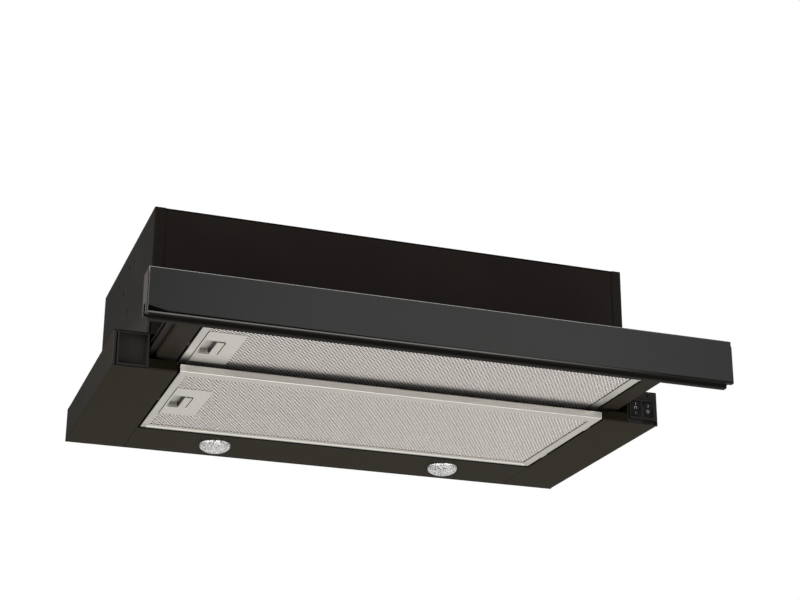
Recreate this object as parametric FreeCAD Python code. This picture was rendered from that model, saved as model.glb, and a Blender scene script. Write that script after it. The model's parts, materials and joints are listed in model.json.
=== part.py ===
import FreeCAD, Part
import math
import os

# Pull-out (telescopic) under-cabinet range hood, drawn with its front pulled out.
# Millimetres, +Z up, +X to the user's right, +Y to the wall.
# The origin is where the cabinet's underside meets the wall, on the centre line:
# z = 0 is the seat under the cabinet, y = 0 the wall, and the user stands at -Y.

V = FreeCAD.Vector

# ---- body ----
WIDTH = 600.0                 # overall width of the lower body
DEPTH = 288.0                 # wall to front edge of the rear filter
LOWER_HEIGHT = 39.0           # lower body, below the cabinet
UPPER_HEIGHT = 139.5          # upper body, inside the cabinet
UPPER_WIDTH = 531.4
SHEET = 1.0                   # steel sheet
BEND = 0.8                    # inner bend radius of the steel sheet
HALF = WIDTH / 2
UPPER_HALF = UPPER_WIDTH / 2
UNDER = -LOWER_HEIGHT         # underside level
TOP = UPPER_HEIGHT
FILTER_FRONT = -DEPTH         # front face of the rear filter
BODY_FRONT = FILTER_FRONT + 2.0
COVER_FRONT = BODY_FRONT + 5.0    # front of the upper body
END_WIDTH = 36.0              # blank cap and switch housing, each end of the front
CAP_X = HALF - END_WIDTH      # where the pull-out's mouth ends
CREVICE = 1.0                 # gap above both corner blocks
CAP_RECESS = 8.5              # depth of the blank cap's recess
WING_LIP = 11.0               # upturned front lip of the underside wings
SEAM_FLANGE = 11.0            # side plates fold this far round the front
RELIEF_TOP = 11.5             # relief slots at the foot of that fold

# ---- underside ----
WINDOW_HALF = 234.5           # half width of both filter windows
FILTER_WIDTH = 464.0
FILTER_THICK = 8.5
REAR_FILTER_LENGTH = 201.0
STRIP_FRONT = -85.0           # front edge of the lamp strip
LAMP_X = 138.0
LAMP_Y = -48.0
LAMP_RADIUS = 16.5

# ---- pull-out ----
PANEL_FRONT = -452.4
GLASS_THICK = 4.0
GLASS_HALF = HALF - 1.4       # the end caps edge the glass
GLASS_HEIGHT = 44.6
GLASS_BOTTOM = UNDER - 2.2
PROFILE_FRONT = PANEL_FRONT + GLASS_THICK
PROFILE_REAR = -436.0
PROFILE_HALF = 296.5
GRIP_DROP = 3.1               # grip rib hangs this far below the glass
ARM_X = 255.5                 # outer face of the arms
ARM_Z = UNDER + 15.0          # underside of the carriage
ARM_TOP = -3.0
ARM_REAR = -160.0
ARM_SCREW_X = 246.5
ARM_SCREW_Z = (-19.0, -8.0)
ARM_SCREW_HOLE = 1.5
FRONT_FILTER_FRONT = -421.0
FRONT_FILTER_LENGTH = 192.0

# ---- both grease filters, heights counted from the filter's face ----
FILTER_HALF = FILTER_WIDTH / 2
FOIL = 0.8                    # folded aluminium of the frame
BORDER = 8.0                  # visible width of the frame's left bar
RIGHT_BORDER = 11.0           # and of its right bar
END_BORDER = 12.0             # and of its front and rear bars
MITRE_REACH = 1.006           # the mitre cutters reach just past the bars' inner edges
BEAD_RADIUS = 5.5             # rolled bead along the rear bar
BEAD_DROP = 1.1
MESH_LEVELS = (0.9, 1.7)      # face mesh and latch plate
FOIL_LEVELS = (3.4, 5.6)      # inner foil pack
BACK_LEVELS = (7.0, 7.6)      # back mesh
HOOK_REACH = 6.0
HOOK_LEVEL = 1.25             # underside of the hooks
HOOK_SPREAD = 58.0
HOOK_HALF_WIDTH = 7.0
LATCH_LEFT = -222.5
LATCH_WIDTH = 38.5
LATCH_LENGTH = 91.0
LATCH_BOX_RIGHT = -189.4
LATCH_BOX_HALF = 24.5
LATCH_BOX_TOP = 8.2
POCKET_HALF = 20.0            # half length of the thumb window
POCKET_TOP = 6.6              # ceiling of the finger cup
BOLT_TIP = -236.5
KNOB_LEFT = -208.5
KNOB_RIGHT = -200.7
KNOB_GAP = 1.4                # open gap right of the knob
KNOB_HALF = 18.4

# ---- ball slides ----
RAIL_Z = -13.0
RAIL_HALF_HEIGHT = 8.65
RAIL_SHEET = 1.0
RAIL_LENGTH = 248.0
RAIL_FRONT = -262.0
RAIL_SCREW_Y = (-238.0, -140.0, -42.0)
RAIL_SCREW_HOLE = 1.5
RUNNER_FRONT = -412.0
BALL_RADIUS = 1.6
BALL_X = 260.4
BALL_Z = 6.0
CAGE_FRONT = -261.0
CAGE_LENGTH = 96.0
BALLS_PER_ROW = 4
PLAY = 0.05                   # running clearance

# ---- blower and outlet ----
DUCT_Y = -140.0
COLLAR_RADIUS = 59.5          # for a 120 mm duct
COLLAR_WALL = 2.0
COLLAR_HEIGHT = 32.0
COLLAR_SCREW_HOLE = 1.5
WHEEL_Y = DUCT_Y - 38.0
WHEEL_Z = 60.0
WHEEL_RADIUS = 44.0
WHEEL_INNER = 35.0
WHEEL_HALF_WIDTH = 43.0
BLADES = 26
SCROLL_HALF_WIDTH = 47.0
SCROLL_WALL = 1.6
SCROLL_STEP = 4.0             # each quarter of the scroll is this much wider
TONGUE_ANGLE = math.radians(52)
TONGUE_GAP = 4.0
MOUTH_HALF = 50.0
MOUTH_Z = UPPER_HEIGHT - 2.0
MOTOR_START = 58.0
MOTOR_RADIUS = 28.0
SPIDER_RADIUS = 46.0
SHAFT_RADIUS = 4.0
PIN_Z = TOP + 11.0            # hinge pin of the outlet flaps
PIN_RADIUS = 1.5

# ---- switches ----
ROCKER_Y = BODY_FRONT + 1.0   # rocker pivot, just behind the face
ROCKER_Z = UNDER + 17.0
ROCKER_WIDTH = 11.0
ROCKER_REACH = 8.6            # pivot to the rocker's corners
FAN_ROCKER_X = 273.6
LIGHT_ROCKER_X = 288.6
LIGHT_REST_TILT = 8.0
STUB_RADIUS = 1.0
STUB_LENGTH = 0.7

# ---- openings of the upper body ----
FIXING_Y = (-152.0, -90.0)    # cabinet screw holes in each side plate
FIXING_Z = 120.0
FIXING_RADIUS = 2.25
CLIP_SLOTS = ((-122.5, 99.8), (-155.0, 69.0), (-176.0, 117.5))
GLAND_X = 205.0
GLAND_Y = -60.0
GLAND_RADIUS = 8.0
GLAND_BORE = 3.75

PLANES = {
    "XY": lambda u, v, w: V(u, v, w),
    "XZ": lambda u, v, w: V(u, w, v),
    "YZ": lambda u, v, w: V(w, u, v),
}
NORMALS = {"XY": V(0, 0, 1), "XZ": V(0, 1, 0), "YZ": V(1, 0, 0)}


# ---------------------------------------------------------------- helpers
def block(x, y, z):
    """Box between two corners, each axis given as (low, high)."""
    return Part.makeBox(x[1] - x[0], y[1] - y[0], z[1] - z[0], V(x[0], y[0], z[0]))


def rod(radius, start, direction, length):
    """Cylinder from a point along a direction."""
    return Part.makeCylinder(radius, length, V(*start), V(*direction))


def ring(outer, inner, start, direction, length):
    """Tube from a point along a direction."""
    return rod(outer, start, direction, length).cut(rod(inner, start, direction, length))


def joined(first, *others):
    """One clean solid from shapes that meet."""
    return first.fuse(list(others)).removeSplitter()


def mirrored(shape):
    """The same piece for the other side of the centre line."""
    return shape.mirror(V(0, 0, 0), V(1, 0, 0))


def outline(points, plane, level):
    """Closed wire through (u, v) or (u, v, radius) corners; corners with a radius are arcs."""
    place = PLANES[plane]
    corners = []
    for index, point in enumerate(points):
        corner = V(point[0], point[1], 0)
        radius = point[2] if len(point) > 2 else 0.0
        if radius == 0.0:
            corners.append((corner, None, corner))
            continue
        before = points[index - 1]
        after = points[(index + 1) % len(points)]
        back = (V(before[0], before[1], 0) - corner).normalize()
        ahead = (V(after[0], after[1], 0) - corner).normalize()
        half_angle = back.getAngle(ahead) / 2
        reach = radius / math.tan(half_angle)
        bisector = (back + ahead).normalize()
        middle = corner + bisector * (radius / math.sin(half_angle) - radius)
        corners.append((corner + back * reach, middle, corner + ahead * reach))
    edges = []
    for index, (start, middle, end) in enumerate(corners):
        if middle is not None:
            arc = [place(p.x, p.y, level) for p in (start, middle, end)]
            edges.append(Part.Arc(*arc).toShape())
        following = corners[(index + 1) % len(corners)][0]
        if (following - end).Length > 1e-6:
            line = [place(p.x, p.y, level) for p in (end, following)]
            edges.append(Part.LineSegment(*line).toShape())
    return Part.Wire(edges)


def prism(points, plane, low, high):
    """Solid with the given outline, from one level of the plane's normal to another."""
    face = Part.Face(outline(points, plane, low))
    return face.extrude(NORMALS[plane] * (high - low))


def folded(path, sheet, bend=BEND):
    """Outline of a folded sheet: the path is one face, and the sheet lies to its left."""
    points = [V(u, v, 0) for u, v in path]
    runs = [(b - a).normalize() for a, b in zip(points, points[1:])]
    normals = [V(-run.y, run.x, 0) for run in runs]
    near = [(points[0].x, points[0].y)]
    start = points[0] + normals[0] * sheet
    far = [(start.x, start.y)]
    for index in range(1, len(points) - 1):
        first, second = normals[index - 1], normals[index]
        mitre = (first + second) * (sheet / (1 + first.dot(second)))
        inside = first.cross(second).z * sheet > 0
        radii = (bend + abs(sheet), bend) if inside else (bend, bend + abs(sheet))
        near.append((points[index].x, points[index].y, radii[0]))
        other = points[index] + mitre
        far.append((other.x, other.y, radii[1]))
    near.append((points[-1].x, points[-1].y))
    end = points[-1] + normals[-1] * sheet
    far.append((end.x, end.y))
    return near + far[::-1]


def turned(profile, centre, axis="Z"):
    """Solid of revolution: profile points are (radius, height) about an axis through centre."""
    side = {"Z": lambda r, h: V(r, 0, h), "X": lambda r, h: V(h, r, 0)}[axis]
    direction = {"Z": V(0, 0, 1), "X": V(1, 0, 0)}[axis]
    points = [side(r, h) for r, h in profile]
    face = Part.Face(Part.makePolygon(points + points[:1]))
    solid = face.revolve(V(0, 0, 0), direction, 360)
    solid.translate(V(*centre))
    return solid


def screw(position, direction, head=3.4, shank=1.4, length=5.0):
    """Pan-head screw: the head stands out along direction, the shank goes the other way."""
    along = V(*direction)
    seat = V(*position)
    head_solid = Part.makeCylinder(head, 1.6, seat, along)
    rim = [edge for edge in head_solid.Edges if edge.Length > 6
           and abs((edge.CenterOfMass - seat).dot(along) - 1.6) < 1e-6]
    head_solid = head_solid.makeFillet(0.9, rim)
    shank_solid = Part.makeCylinder(shank, length, seat - along * length, along)
    return head_solid.fuse(shank_solid).removeSplitter()


def group(shapes):
    """Several separate solids in one node."""
    return Part.makeCompound(shapes)


# ---------------------------------------------------------------- housing plates
def left_cheek():
    """Lower side wall with its underside wing, cabinet seat and upturned front lip."""
    wall = folded([(-WINDOW_HALF, UNDER), (-HALF, UNDER), (-HALF, 0), (-UPPER_HALF, 0)], -SHEET)
    body = prism(wall, "XZ", BODY_FRONT + 2, -SHEET)
    lip = folded([(BODY_FRONT + 4, UNDER), (BODY_FRONT, UNDER),
                  (BODY_FRONT, UNDER + WING_LIP)], -SHEET)
    crevice = block((-HALF + 1.2, -UPPER_HALF + 0.2), (BODY_FRONT + 1, COVER_FRONT + 1.5),
                    (-SHEET - 0.1, 0.1))
    return joined(body, prism(lip, "YZ", -CAP_X, -WINDOW_HALF)).cut(crevice)


def left_side_plate():
    """Upper side with the flange that folds round the front to the seam."""
    fold = folded([(-UPPER_HALF + SEAM_FLANGE, COVER_FRONT), (-UPPER_HALF, COVER_FRONT),
                   (-UPPER_HALF, -SHEET)], -SHEET)
    plate = prism(fold, "XY", 0, TOP)
    for y in FIXING_Y:
        plate = plate.cut(rod(FIXING_RADIUS, (-UPPER_HALF - 1, y, FIXING_Z), (1, 0, 0), 3))
    for y, z in CLIP_SLOTS:
        slot = [(y - 1.5, z - 3.5, 1.4), (y + 1.5, z - 3.5, 1.4),
                (y + 1.5, z + 3.5, 1.4), (y - 1.5, z + 3.5, 1.4)]
        plate = plate.cut(prism(slot, "YZ", -UPPER_HALF - 1, -UPPER_HALF + 2))
    flange_relief = block((-UPPER_HALF + 2.0, -UPPER_HALF + 3.4), (COVER_FRONT - 1, COVER_FRONT + 2),
                          (1.5, RELIEF_TOP))
    side_relief = block((-UPPER_HALF - 1, -UPPER_HALF + 2), (COVER_FRONT + 2.6, COVER_FRONT + 4.2),
                        (1.5, RELIEF_TOP - 1.5))
    return plate.cut(flange_relief).cut(side_relief)


def left_slide_bracket():
    """Angle on the left wing that carries the fixed slide rail and stands under the side plate."""
    fold = folded([(-UPPER_HALF - 14, UNDER + SHEET), (-UPPER_HALF + SHEET, UNDER + SHEET),
                   (-UPPER_HALF + SHEET, 0)], SHEET)
    bracket = prism(fold, "XZ", BODY_FRONT + 22, -SHEET)
    for y in RAIL_SCREW_Y:
        bracket = bracket.cut(rod(RAIL_SCREW_HOLE, (-UPPER_HALF - 1, y, RAIL_Z), (1, 0, 0), 4))
    return bracket


def front_cover():
    """Upper front sheet, folded inwards at its foot and under the top plate."""
    front = COVER_FRONT + SHEET
    fold = folded([(front + 12, -0.4), (front, -0.4), (front, TOP - SHEET - 0.1),
                   (front + 12, TOP - SHEET - 0.1)], -SHEET)
    return prism(fold, "YZ", -UPPER_HALF + 3.4, UPPER_HALF - 3.4)


def top_plate():
    """Top with its side flanges, the duct hole and the cable hole."""
    edge = UPPER_HALF - SHEET - 0.1
    fold = folded([(-edge, TOP - 11), (-edge, TOP), (edge, TOP), (edge, TOP - 11)], -SHEET)
    plate = prism(fold, "XZ", COVER_FRONT + SHEET, -SHEET)
    for side in (-1, 1):
        relief = block(sorted((side * (edge - 2), side * (edge + 1))),
                       (COVER_FRONT, COVER_FRONT + 2), (TOP - 12, TOP + 1))
        plate = plate.cut(relief)
    plate = plate.cut(rod(COLLAR_RADIUS - 1, (0, DUCT_Y, TOP - 5), (0, 0, 1), 10))
    for x, y in collar_screw_places():
        plate = plate.cut(rod(COLLAR_SCREW_HOLE, (x, y, TOP - 5), (0, 0, 1), 10))
    return plate.cut(rod(GLAND_RADIUS + 0.1, (GLAND_X, GLAND_Y, TOP - 5), (0, 0, 1), 10))


def rear_wall():
    """One T-shaped sheet that closes the lower and the upper body against the wall."""
    tee = [(-HALF, UNDER), (HALF, UNDER), (HALF, 0), (UPPER_HALF, 0), (UPPER_HALF, TOP),
           (-UPPER_HALF, TOP), (-UPPER_HALF, 0), (-HALF, 0)]
    return prism(tee, "XZ", -SHEET, 0)


def lamp_strip():
    """Underside strip behind the rear filter, a shallow channel with two lamp holes."""
    fold = folded([(STRIP_FRONT, UNDER + 11), (STRIP_FRONT, UNDER), (-SHEET, UNDER),
                   (-SHEET, UNDER + 11)], SHEET)
    strip = prism(fold, "YZ", -WINDOW_HALF + 0.5, WINDOW_HALF - 0.5)
    for side in (-1, 1):
        strip = strip.cut(rod(LAMP_RADIUS + 0.6, (side * LAMP_X, LAMP_Y, UNDER - 1), (0, 0, 1), 4))
    return strip


# ---------------------------------------------------------------- front corners
def end_block(depth, closed):
    """Plastic plug for one end of the lower body's front, right-hand side, hollow from behind."""
    face = block((CAP_X, HALF), (BODY_FRONT, BODY_FRONT + 2), (UNDER, -CREVICE))
    plug = block((CAP_X, HALF - SHEET - 0.5), (BODY_FRONT + 2, BODY_FRONT + depth),
                 (UNDER + SHEET + 0.5, -SHEET - 0.5))
    hollow = block((CAP_X + 1.5, HALF - SHEET - 2), (BODY_FRONT + closed, BODY_FRONT + depth + 1),
                   (UNDER + SHEET + 2, -SHEET - 2))
    return joined(face, plug).cut(hollow)


def blank_cap():
    """Left end: a frame round a deep recess, with a slot beside it and a gusset in its corner."""
    cap = mirrored(end_block(14, CAP_RECESS + 1.5))
    left, right, low, high = -HALF + 5.4, -CAP_X - 2.0, UNDER + 3.4, -3.2
    recess = [(left, low, 0.8), (right, low, 0.8), (right, high, 0.8), (left, high, 0.8)]
    cap = cap.cut(prism(recess, "XZ", BODY_FRONT - 1, BODY_FRONT + CAP_RECESS))
    cap = cap.cut(block((-HALF + 2.4, -HALF + 3.8), (BODY_FRONT - 1, BODY_FRONT + CAP_RECESS - 0.5),
                        (UNDER + 1, -0.6)))
    gusset = [(right, low), (right, low + 17), (right - 4.2, low)]
    return joined(cap, prism(gusset, "XZ", BODY_FRONT + CAP_RECESS - 3, BODY_FRONT + CAP_RECESS + 0.1))


def switch_housing():
    """Right end: the plug with a raised frame, the two rocker windows and a groove below them."""
    housing = end_block(20, 3)
    frame = [(266.4, UNDER + 5.2, 1.2), (298.6, UNDER + 5.2, 1.2),
             (298.6, UNDER + 28.0, 1.2), (266.4, UNDER + 28.0, 1.2)]
    housing = joined(housing, prism(frame, "XZ", BODY_FRONT - 1.6, BODY_FRONT + 4))
    for x in (FAN_ROCKER_X, LIGHT_ROCKER_X):
        half = ROCKER_WIDTH / 2 + 0.25
        window = block((x - half, x + half), (BODY_FRONT - 2, BODY_FRONT + 8),
                       (ROCKER_Z - ROCKER_REACH - 0.3, ROCKER_Z + ROCKER_REACH + 0.3))
        pivot = rod(STUB_RADIUS + PLAY, (x - half - STUB_LENGTH, ROCKER_Y, ROCKER_Z), (1, 0, 0),
                    2 * (half + STUB_LENGTH))
        housing = housing.cut(window).cut(pivot)
    housing = housing.cut(block((CAP_X + 18, HALF - 1.4), (BODY_FRONT - 1, BODY_FRONT + 1.4),
                                (UNDER + 1.4, UNDER + 4.6)))
    return housing.cut(rod(1.5, (291, BODY_FRONT - 2, -4.6), (0, 1, 0), 6))


def rocker(x, tilt):
    """Rocker key: two shallow slopes that meet at the middle, on two pivot stubs."""
    front, back = ROCKER_Y - 3.0, ROCKER_Y + 3.6
    key = [(front, ROCKER_Z - 8.0, 0.6), (front + 1.3, ROCKER_Z), (front, ROCKER_Z + 8.0, 0.6),
           (ROCKER_Y, ROCKER_Z + 8.4), (back, ROCKER_Z + 6.0), (back, ROCKER_Z - 6.0),
           (ROCKER_Y, ROCKER_Z - 8.4)]
    half = ROCKER_WIDTH / 2
    body = prism(key, "YZ", x - half, x + half)
    stubs = rod(STUB_RADIUS, (x - half - STUB_LENGTH, ROCKER_Y, ROCKER_Z), (1, 0, 0),
                2 * (half + STUB_LENGTH))
    body = joined(body, stubs)
    body.rotate(V(x, ROCKER_Y, ROCKER_Z), V(1, 0, 0), tilt)
    return body


def switch_block():
    """Switch mechanism behind the two rockers, with its spade terminals."""
    body = block((266.8, 295.8), (BODY_FRONT + 8.6, BODY_FRONT + 24), (UNDER + 6, UNDER + 27))
    blades = []
    for column in range(5):
        x = 270.5 + 5.4 * column
        blades.append(block((x - 0.4, x + 0.4), (BODY_FRONT + 24, BODY_FRONT + 32),
                            (UNDER + 13, UNDER + 19.3)))
    return joined(body, *blades)


# ---------------------------------------------------------------- ball slides
def slide_rail():
    """Fixed left rail: a channel whose lips keep the balls in."""
    wall, edge = -UPPER_HALF + SHEET, -BALL_X + 3.0
    path = [(edge, RAIL_Z - RAIL_HALF_HEIGHT + 2.0), (edge, RAIL_Z - RAIL_HALF_HEIGHT),
            (wall, RAIL_Z - RAIL_HALF_HEIGHT), (wall, RAIL_Z + RAIL_HALF_HEIGHT),
            (edge, RAIL_Z + RAIL_HALF_HEIGHT), (edge, RAIL_Z + RAIL_HALF_HEIGHT - 2.0)]
    rail = prism(folded(path, -RAIL_SHEET, 0.4), "XZ", RAIL_FRONT, RAIL_FRONT + RAIL_LENGTH)
    for y in RAIL_SCREW_Y:
        rail = rail.cut(rod(RAIL_SCREW_HOLE, (-UPPER_HALF, y, RAIL_Z), (1, 0, 0), 4))
    return rail


def slide_runner():
    """Left runner, a narrow channel on the arm that rolls between the ball rows."""
    half = BALL_Z - BALL_RADIUS - PLAY
    path = [(-BALL_X - 2.0, RAIL_Z - half), (-ARM_X, RAIL_Z - half),
            (-ARM_X, RAIL_Z + half), (-BALL_X - 2.0, RAIL_Z + half)]
    return prism(folded(path, RAIL_SHEET, 0.4), "XZ", RUNNER_FRONT, RUNNER_FRONT + RAIL_LENGTH)


def ball_cage():
    """Left ball cage, a thin channel with a ball in each hole."""
    web, lip = -BALL_X - 2.75, -BALL_X + 1.4
    path = [(lip, RAIL_Z - BALL_Z - 0.25), (web, RAIL_Z - BALL_Z - 0.25),
            (web, RAIL_Z + BALL_Z + 0.25), (lip, RAIL_Z + BALL_Z + 0.25)]
    cage = prism(folded(path, -0.5, 0.3), "XZ", CAGE_FRONT, CAGE_FRONT + CAGE_LENGTH)
    pitch = CAGE_LENGTH / BALLS_PER_ROW
    balls = []
    for place in range(BALLS_PER_ROW):
        y = CAGE_FRONT + pitch * (place + 0.5)
        for z in (RAIL_Z - BALL_Z, RAIL_Z + BALL_Z):
            cage = cage.cut(rod(BALL_RADIUS + PLAY, (-BALL_X, y, z - 1), (0, 0, 1), 2))
            balls.append(Part.makeSphere(BALL_RADIUS, V(-BALL_X, y, z)))
    return group([cage] + balls)


# ---------------------------------------------------------------- outlet
def outlet_collar():
    """Duct collar with its screw flange and the ledge that the flaps close on."""
    inner = COLLAR_RADIUS - COLLAR_WALL
    profile = [(inner, TOP), (70, TOP), (70, TOP + 2), (COLLAR_RADIUS, TOP + 2),
               (COLLAR_RADIUS, TOP + COLLAR_HEIGHT - 1), (COLLAR_RADIUS - 1, TOP + COLLAR_HEIGHT),
               (inner, TOP + COLLAR_HEIGHT), (inner, TOP + 8.5), (inner - 3, TOP + 8.5),
               (inner - 3, TOP + 6.5), (inner, TOP + 5)]
    collar = turned(profile, (0, DUCT_Y, 0))
    collar = collar.cut(rod(PIN_RADIUS, (-COLLAR_RADIUS - 1, DUCT_Y, PIN_Z), (1, 0, 0),
                            2 * COLLAR_RADIUS + 2))
    for x, y in collar_screw_places():
        collar = collar.cut(rod(COLLAR_SCREW_HOLE, (x, y, TOP - 1), (0, 0, 1), 4))
    return collar


def collar_screw_places():
    """The four screws on the collar's flange."""
    reach = 65.0 * math.sqrt(0.5)
    return [(i * reach, DUCT_Y + j * reach) for i in (-1, 1) for j in (-1, 1)]


def outlet_flap(side):
    """One half-round non-return flap with its two knuckles; side is -1 front or 1 rear."""
    radius = COLLAR_RADIUS - COLLAR_WALL - 0.9
    low, high = TOP + 8.6, TOP + 9.8
    disc = rod(radius, (0, DUCT_Y, low), (0, 0, 1), high - low)
    half = block((-radius, radius), sorted((DUCT_Y + side * 0.7, DUCT_Y + side * 60)),
                 (low - 1, high + 1))
    flap = disc.common(half)
    own = ((-46, -24), (2, 22)) if side < 0 else ((-22, -2), (24, 46))
    other = ((-22.4, -1.6), (23.6, 46.4)) if side < 0 else ((-46.4, -23.6), (1.6, 22.4))
    for x0, x1 in other:
        flap = flap.cut(rod(3.4, (x0, DUCT_Y, PIN_Z), (1, 0, 0), x1 - x0))
    knuckles = [rod(2.8, (x0, DUCT_Y, PIN_Z), (1, 0, 0), x1 - x0) for x0, x1 in own]
    flap = joined(flap, *knuckles)
    return flap.cut(rod(PIN_RADIUS + PLAY, (-COLLAR_RADIUS, DUCT_Y, PIN_Z), (1, 0, 0),
                        2 * COLLAR_RADIUS))


def cable_gland():
    """Cable gland in the top plate: domed nut above, lock nut below, bore for the lead."""
    profile = [(GLAND_BORE, TOP - 12), (GLAND_RADIUS, TOP - 12), (GLAND_RADIUS, TOP),
               (10.5, TOP), (10.5, TOP + 6), (8.6, TOP + 13), (6, TOP + 16),
               (GLAND_BORE, TOP + 16)]
    gland = turned(profile, (GLAND_X, GLAND_Y, 0))
    hexagon = [(GLAND_X + 12 * math.cos(math.radians(60 * i)),
                GLAND_Y + 12 * math.sin(math.radians(60 * i))) for i in range(6)]
    nut = prism(hexagon, "XY", TOP - SHEET - 5, TOP - SHEET)
    nut = nut.cut(rod(GLAND_RADIUS - 0.5, (GLAND_X, GLAND_Y, TOP - 8), (0, 0, 1), 10))
    return joined(gland, nut)


# ---------------------------------------------------------------- blower
def scroll_wire(level):
    """Closed scroll outline: four widening arcs that open into the outlet diffuser."""
    def heading(angle):
        return V(0, math.cos(angle), math.sin(angle))

    centre = V(level, WHEEL_Y, WHEEL_Z)
    radius = WHEEL_RADIUS + TONGUE_GAP
    angle = TONGUE_ANGLE
    turn = (2 * math.pi - TONGUE_ANGLE) / 4
    edges = []
    for _ in range(4):
        points = [centre + heading(angle + turn * half / 2) * radius for half in range(3)]
        edges.append(Part.Arc(*points).toShape())
        angle += turn
        centre = centre - heading(angle) * SCROLL_STEP
        radius += SCROLL_STEP
    tongue = V(level, WHEEL_Y, WHEEL_Z) + heading(TONGUE_ANGLE) * (WHEEL_RADIUS + TONGUE_GAP)
    corners = [points[-1], V(level, DUCT_Y + MOUTH_HALF, MOUTH_Z),
               V(level, DUCT_Y - MOUTH_HALF, MOUTH_Z), tongue]
    for first, second in zip(corners, corners[1:]):
        edges.append(Part.LineSegment(first, second).toShape())
    return Part.Wire(edges)


def scroll_face(level, grow):
    """Scroll section, grown outwards all round and cut off level with the outlet."""
    wire = scroll_wire(level)
    if grow > 0:
        wire = wire.makeOffset2D(grow)
    lid = Part.makeBox(2, 400, 100, V(level - 1, DUCT_Y - 200, MOUTH_Z))
    return Part.Face(wire).cut(lid).Faces[0]


def fan_scroll():
    """Scroll wall, open at its top to the collar."""
    width = V(2 * SCROLL_HALF_WIDTH, 0, 0)
    outside = scroll_face(-SCROLL_HALF_WIDTH, SCROLL_WALL).extrude(width)
    return outside.cut(scroll_face(-SCROLL_HALF_WIDTH, 0).extrude(width))


def fan_side(side):
    """One end plate of the scroll with a rolled inlet mouth."""
    inlet = WHEEL_INNER
    face = scroll_face(side * SCROLL_HALF_WIDTH, SCROLL_WALL)
    plate = face.extrude(V(side * SCROLL_WALL, 0, 0))
    outer = side * (SCROLL_HALF_WIDTH + SCROLL_WALL)
    plate = plate.cut(rod(inlet, (-60, WHEEL_Y, WHEEL_Z), (1, 0, 0), 120))
    inner = side * SCROLL_HALF_WIDTH
    mouth = turned([(inlet, outer + side * 3), (inlet + 2.4, outer + side * 3),
                    (inlet + 4, outer), (inlet + 4, inner), (inlet, inner)],
                   (0, WHEEL_Y, WHEEL_Z), "X")
    return joined(plate, mouth)


def impeller():
    """Double-inlet wheel: forward-curved blades on a middle disc, between two rings."""
    centre = (0, WHEEL_Y, WHEEL_Z)
    disc = rod(WHEEL_RADIUS, (-0.8, WHEEL_Y, WHEEL_Z), (1, 0, 0), 1.6)
    hub = turned([(0, -14), (7, -14), (9, -4), (9, 4), (7, 14), (0, 14)], centre, "X")
    shaft = rod(SHAFT_RADIUS, (-14, WHEEL_Y, WHEEL_Z), (1, 0, 0), MOTOR_START + 26)
    rings = [ring(WHEEL_RADIUS, WHEEL_INNER + 3, (x, WHEEL_Y, WHEEL_Z), (1, 0, 0), 1.8)
             for x in (-WHEEL_HALF_WIDTH, WHEEL_HALF_WIDTH - 1.8)]
    blade = blade_solid()
    blades = []
    for index in range(BLADES):
        copy = blade.copy()
        copy.rotate(V(*centre), V(1, 0, 0), 360 / BLADES * index)
        blades.append(copy)
    return joined(disc, hub, shaft, *rings, *blades)


def blade_solid():
    """One blade: a thin arc that leans forward from the inner to the outer rim."""
    inner, outer, lean, thick = WHEEL_INNER, WHEEL_RADIUS - 0.4, math.radians(9), 1.0
    bow = 1.6
    start, end = V(0, inner, 0), V(0, outer * math.cos(lean), outer * math.sin(lean))
    middle = (start + end) * 0.5 + V(0, bow * 0.4, -bow)
    shift = V(0, 0, thick)
    edges = [Part.Arc(start, middle, end).toShape(),
             Part.LineSegment(end, end + shift).toShape(),
             Part.Arc(end + shift, middle + shift, start + shift).toShape(),
             Part.LineSegment(start + shift, start).toShape()]
    face = Part.Face(Part.Wire(edges))
    blade = face.extrude(V(2 * WHEEL_HALF_WIDTH - 0.8, 0, 0))
    blade.translate(V(-WHEEL_HALF_WIDTH + 0.4, WHEEL_Y, WHEEL_Z))
    return blade


def spider_angles():
    """Directions of the motor's three mounting arms."""
    return [math.radians(30 + 120 * i) for i in range(3)]


def fan_motor():
    """Motor can with a bored bearing boss, vent slots and its three-armed bracket."""
    centre = (0, WHEEL_Y, WHEEL_Z)
    can = turned([(0, MOTOR_START + 40), (9, MOTOR_START + 40), (11, MOTOR_START + 36),
                  (MOTOR_RADIUS - 3, MOTOR_START + 34), (MOTOR_RADIUS, MOTOR_START + 31),
                  (MOTOR_RADIUS, MOTOR_START + 4), (MOTOR_RADIUS - 3, MOTOR_START + 1),
                  (11, MOTOR_START), (0, MOTOR_START)], centre, "X")
    can = can.cut(rod(SHAFT_RADIUS + PLAY, (MOTOR_START - 1, WHEEL_Y, WHEEL_Z), (1, 0, 0), 30))
    for index in range(10):
        angle = math.radians(36 * index)
        slot = block((MOTOR_START + 9, MOTOR_START + 26), (MOTOR_RADIUS - 2.5, MOTOR_RADIUS + 2),
                     (-2.2, 2.2))
        slot.rotate(V(0, 0, 0), V(1, 0, 0), math.degrees(angle))
        slot.translate(V(0, WHEEL_Y, WHEEL_Z))
        can = can.cut(slot)
    arms = []
    for angle in spider_angles():
        arm = block((MOTOR_START + 4, MOTOR_START + 6), (MOTOR_RADIUS - 6, SPIDER_RADIUS + 5),
                    (-6, 6))
        arm.rotate(V(0, 0, 0), V(1, 0, 0), math.degrees(angle))
        arm.translate(V(0, WHEEL_Y, WHEEL_Z))
        arms.append(arm)
    return joined(can, *arms)


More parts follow.
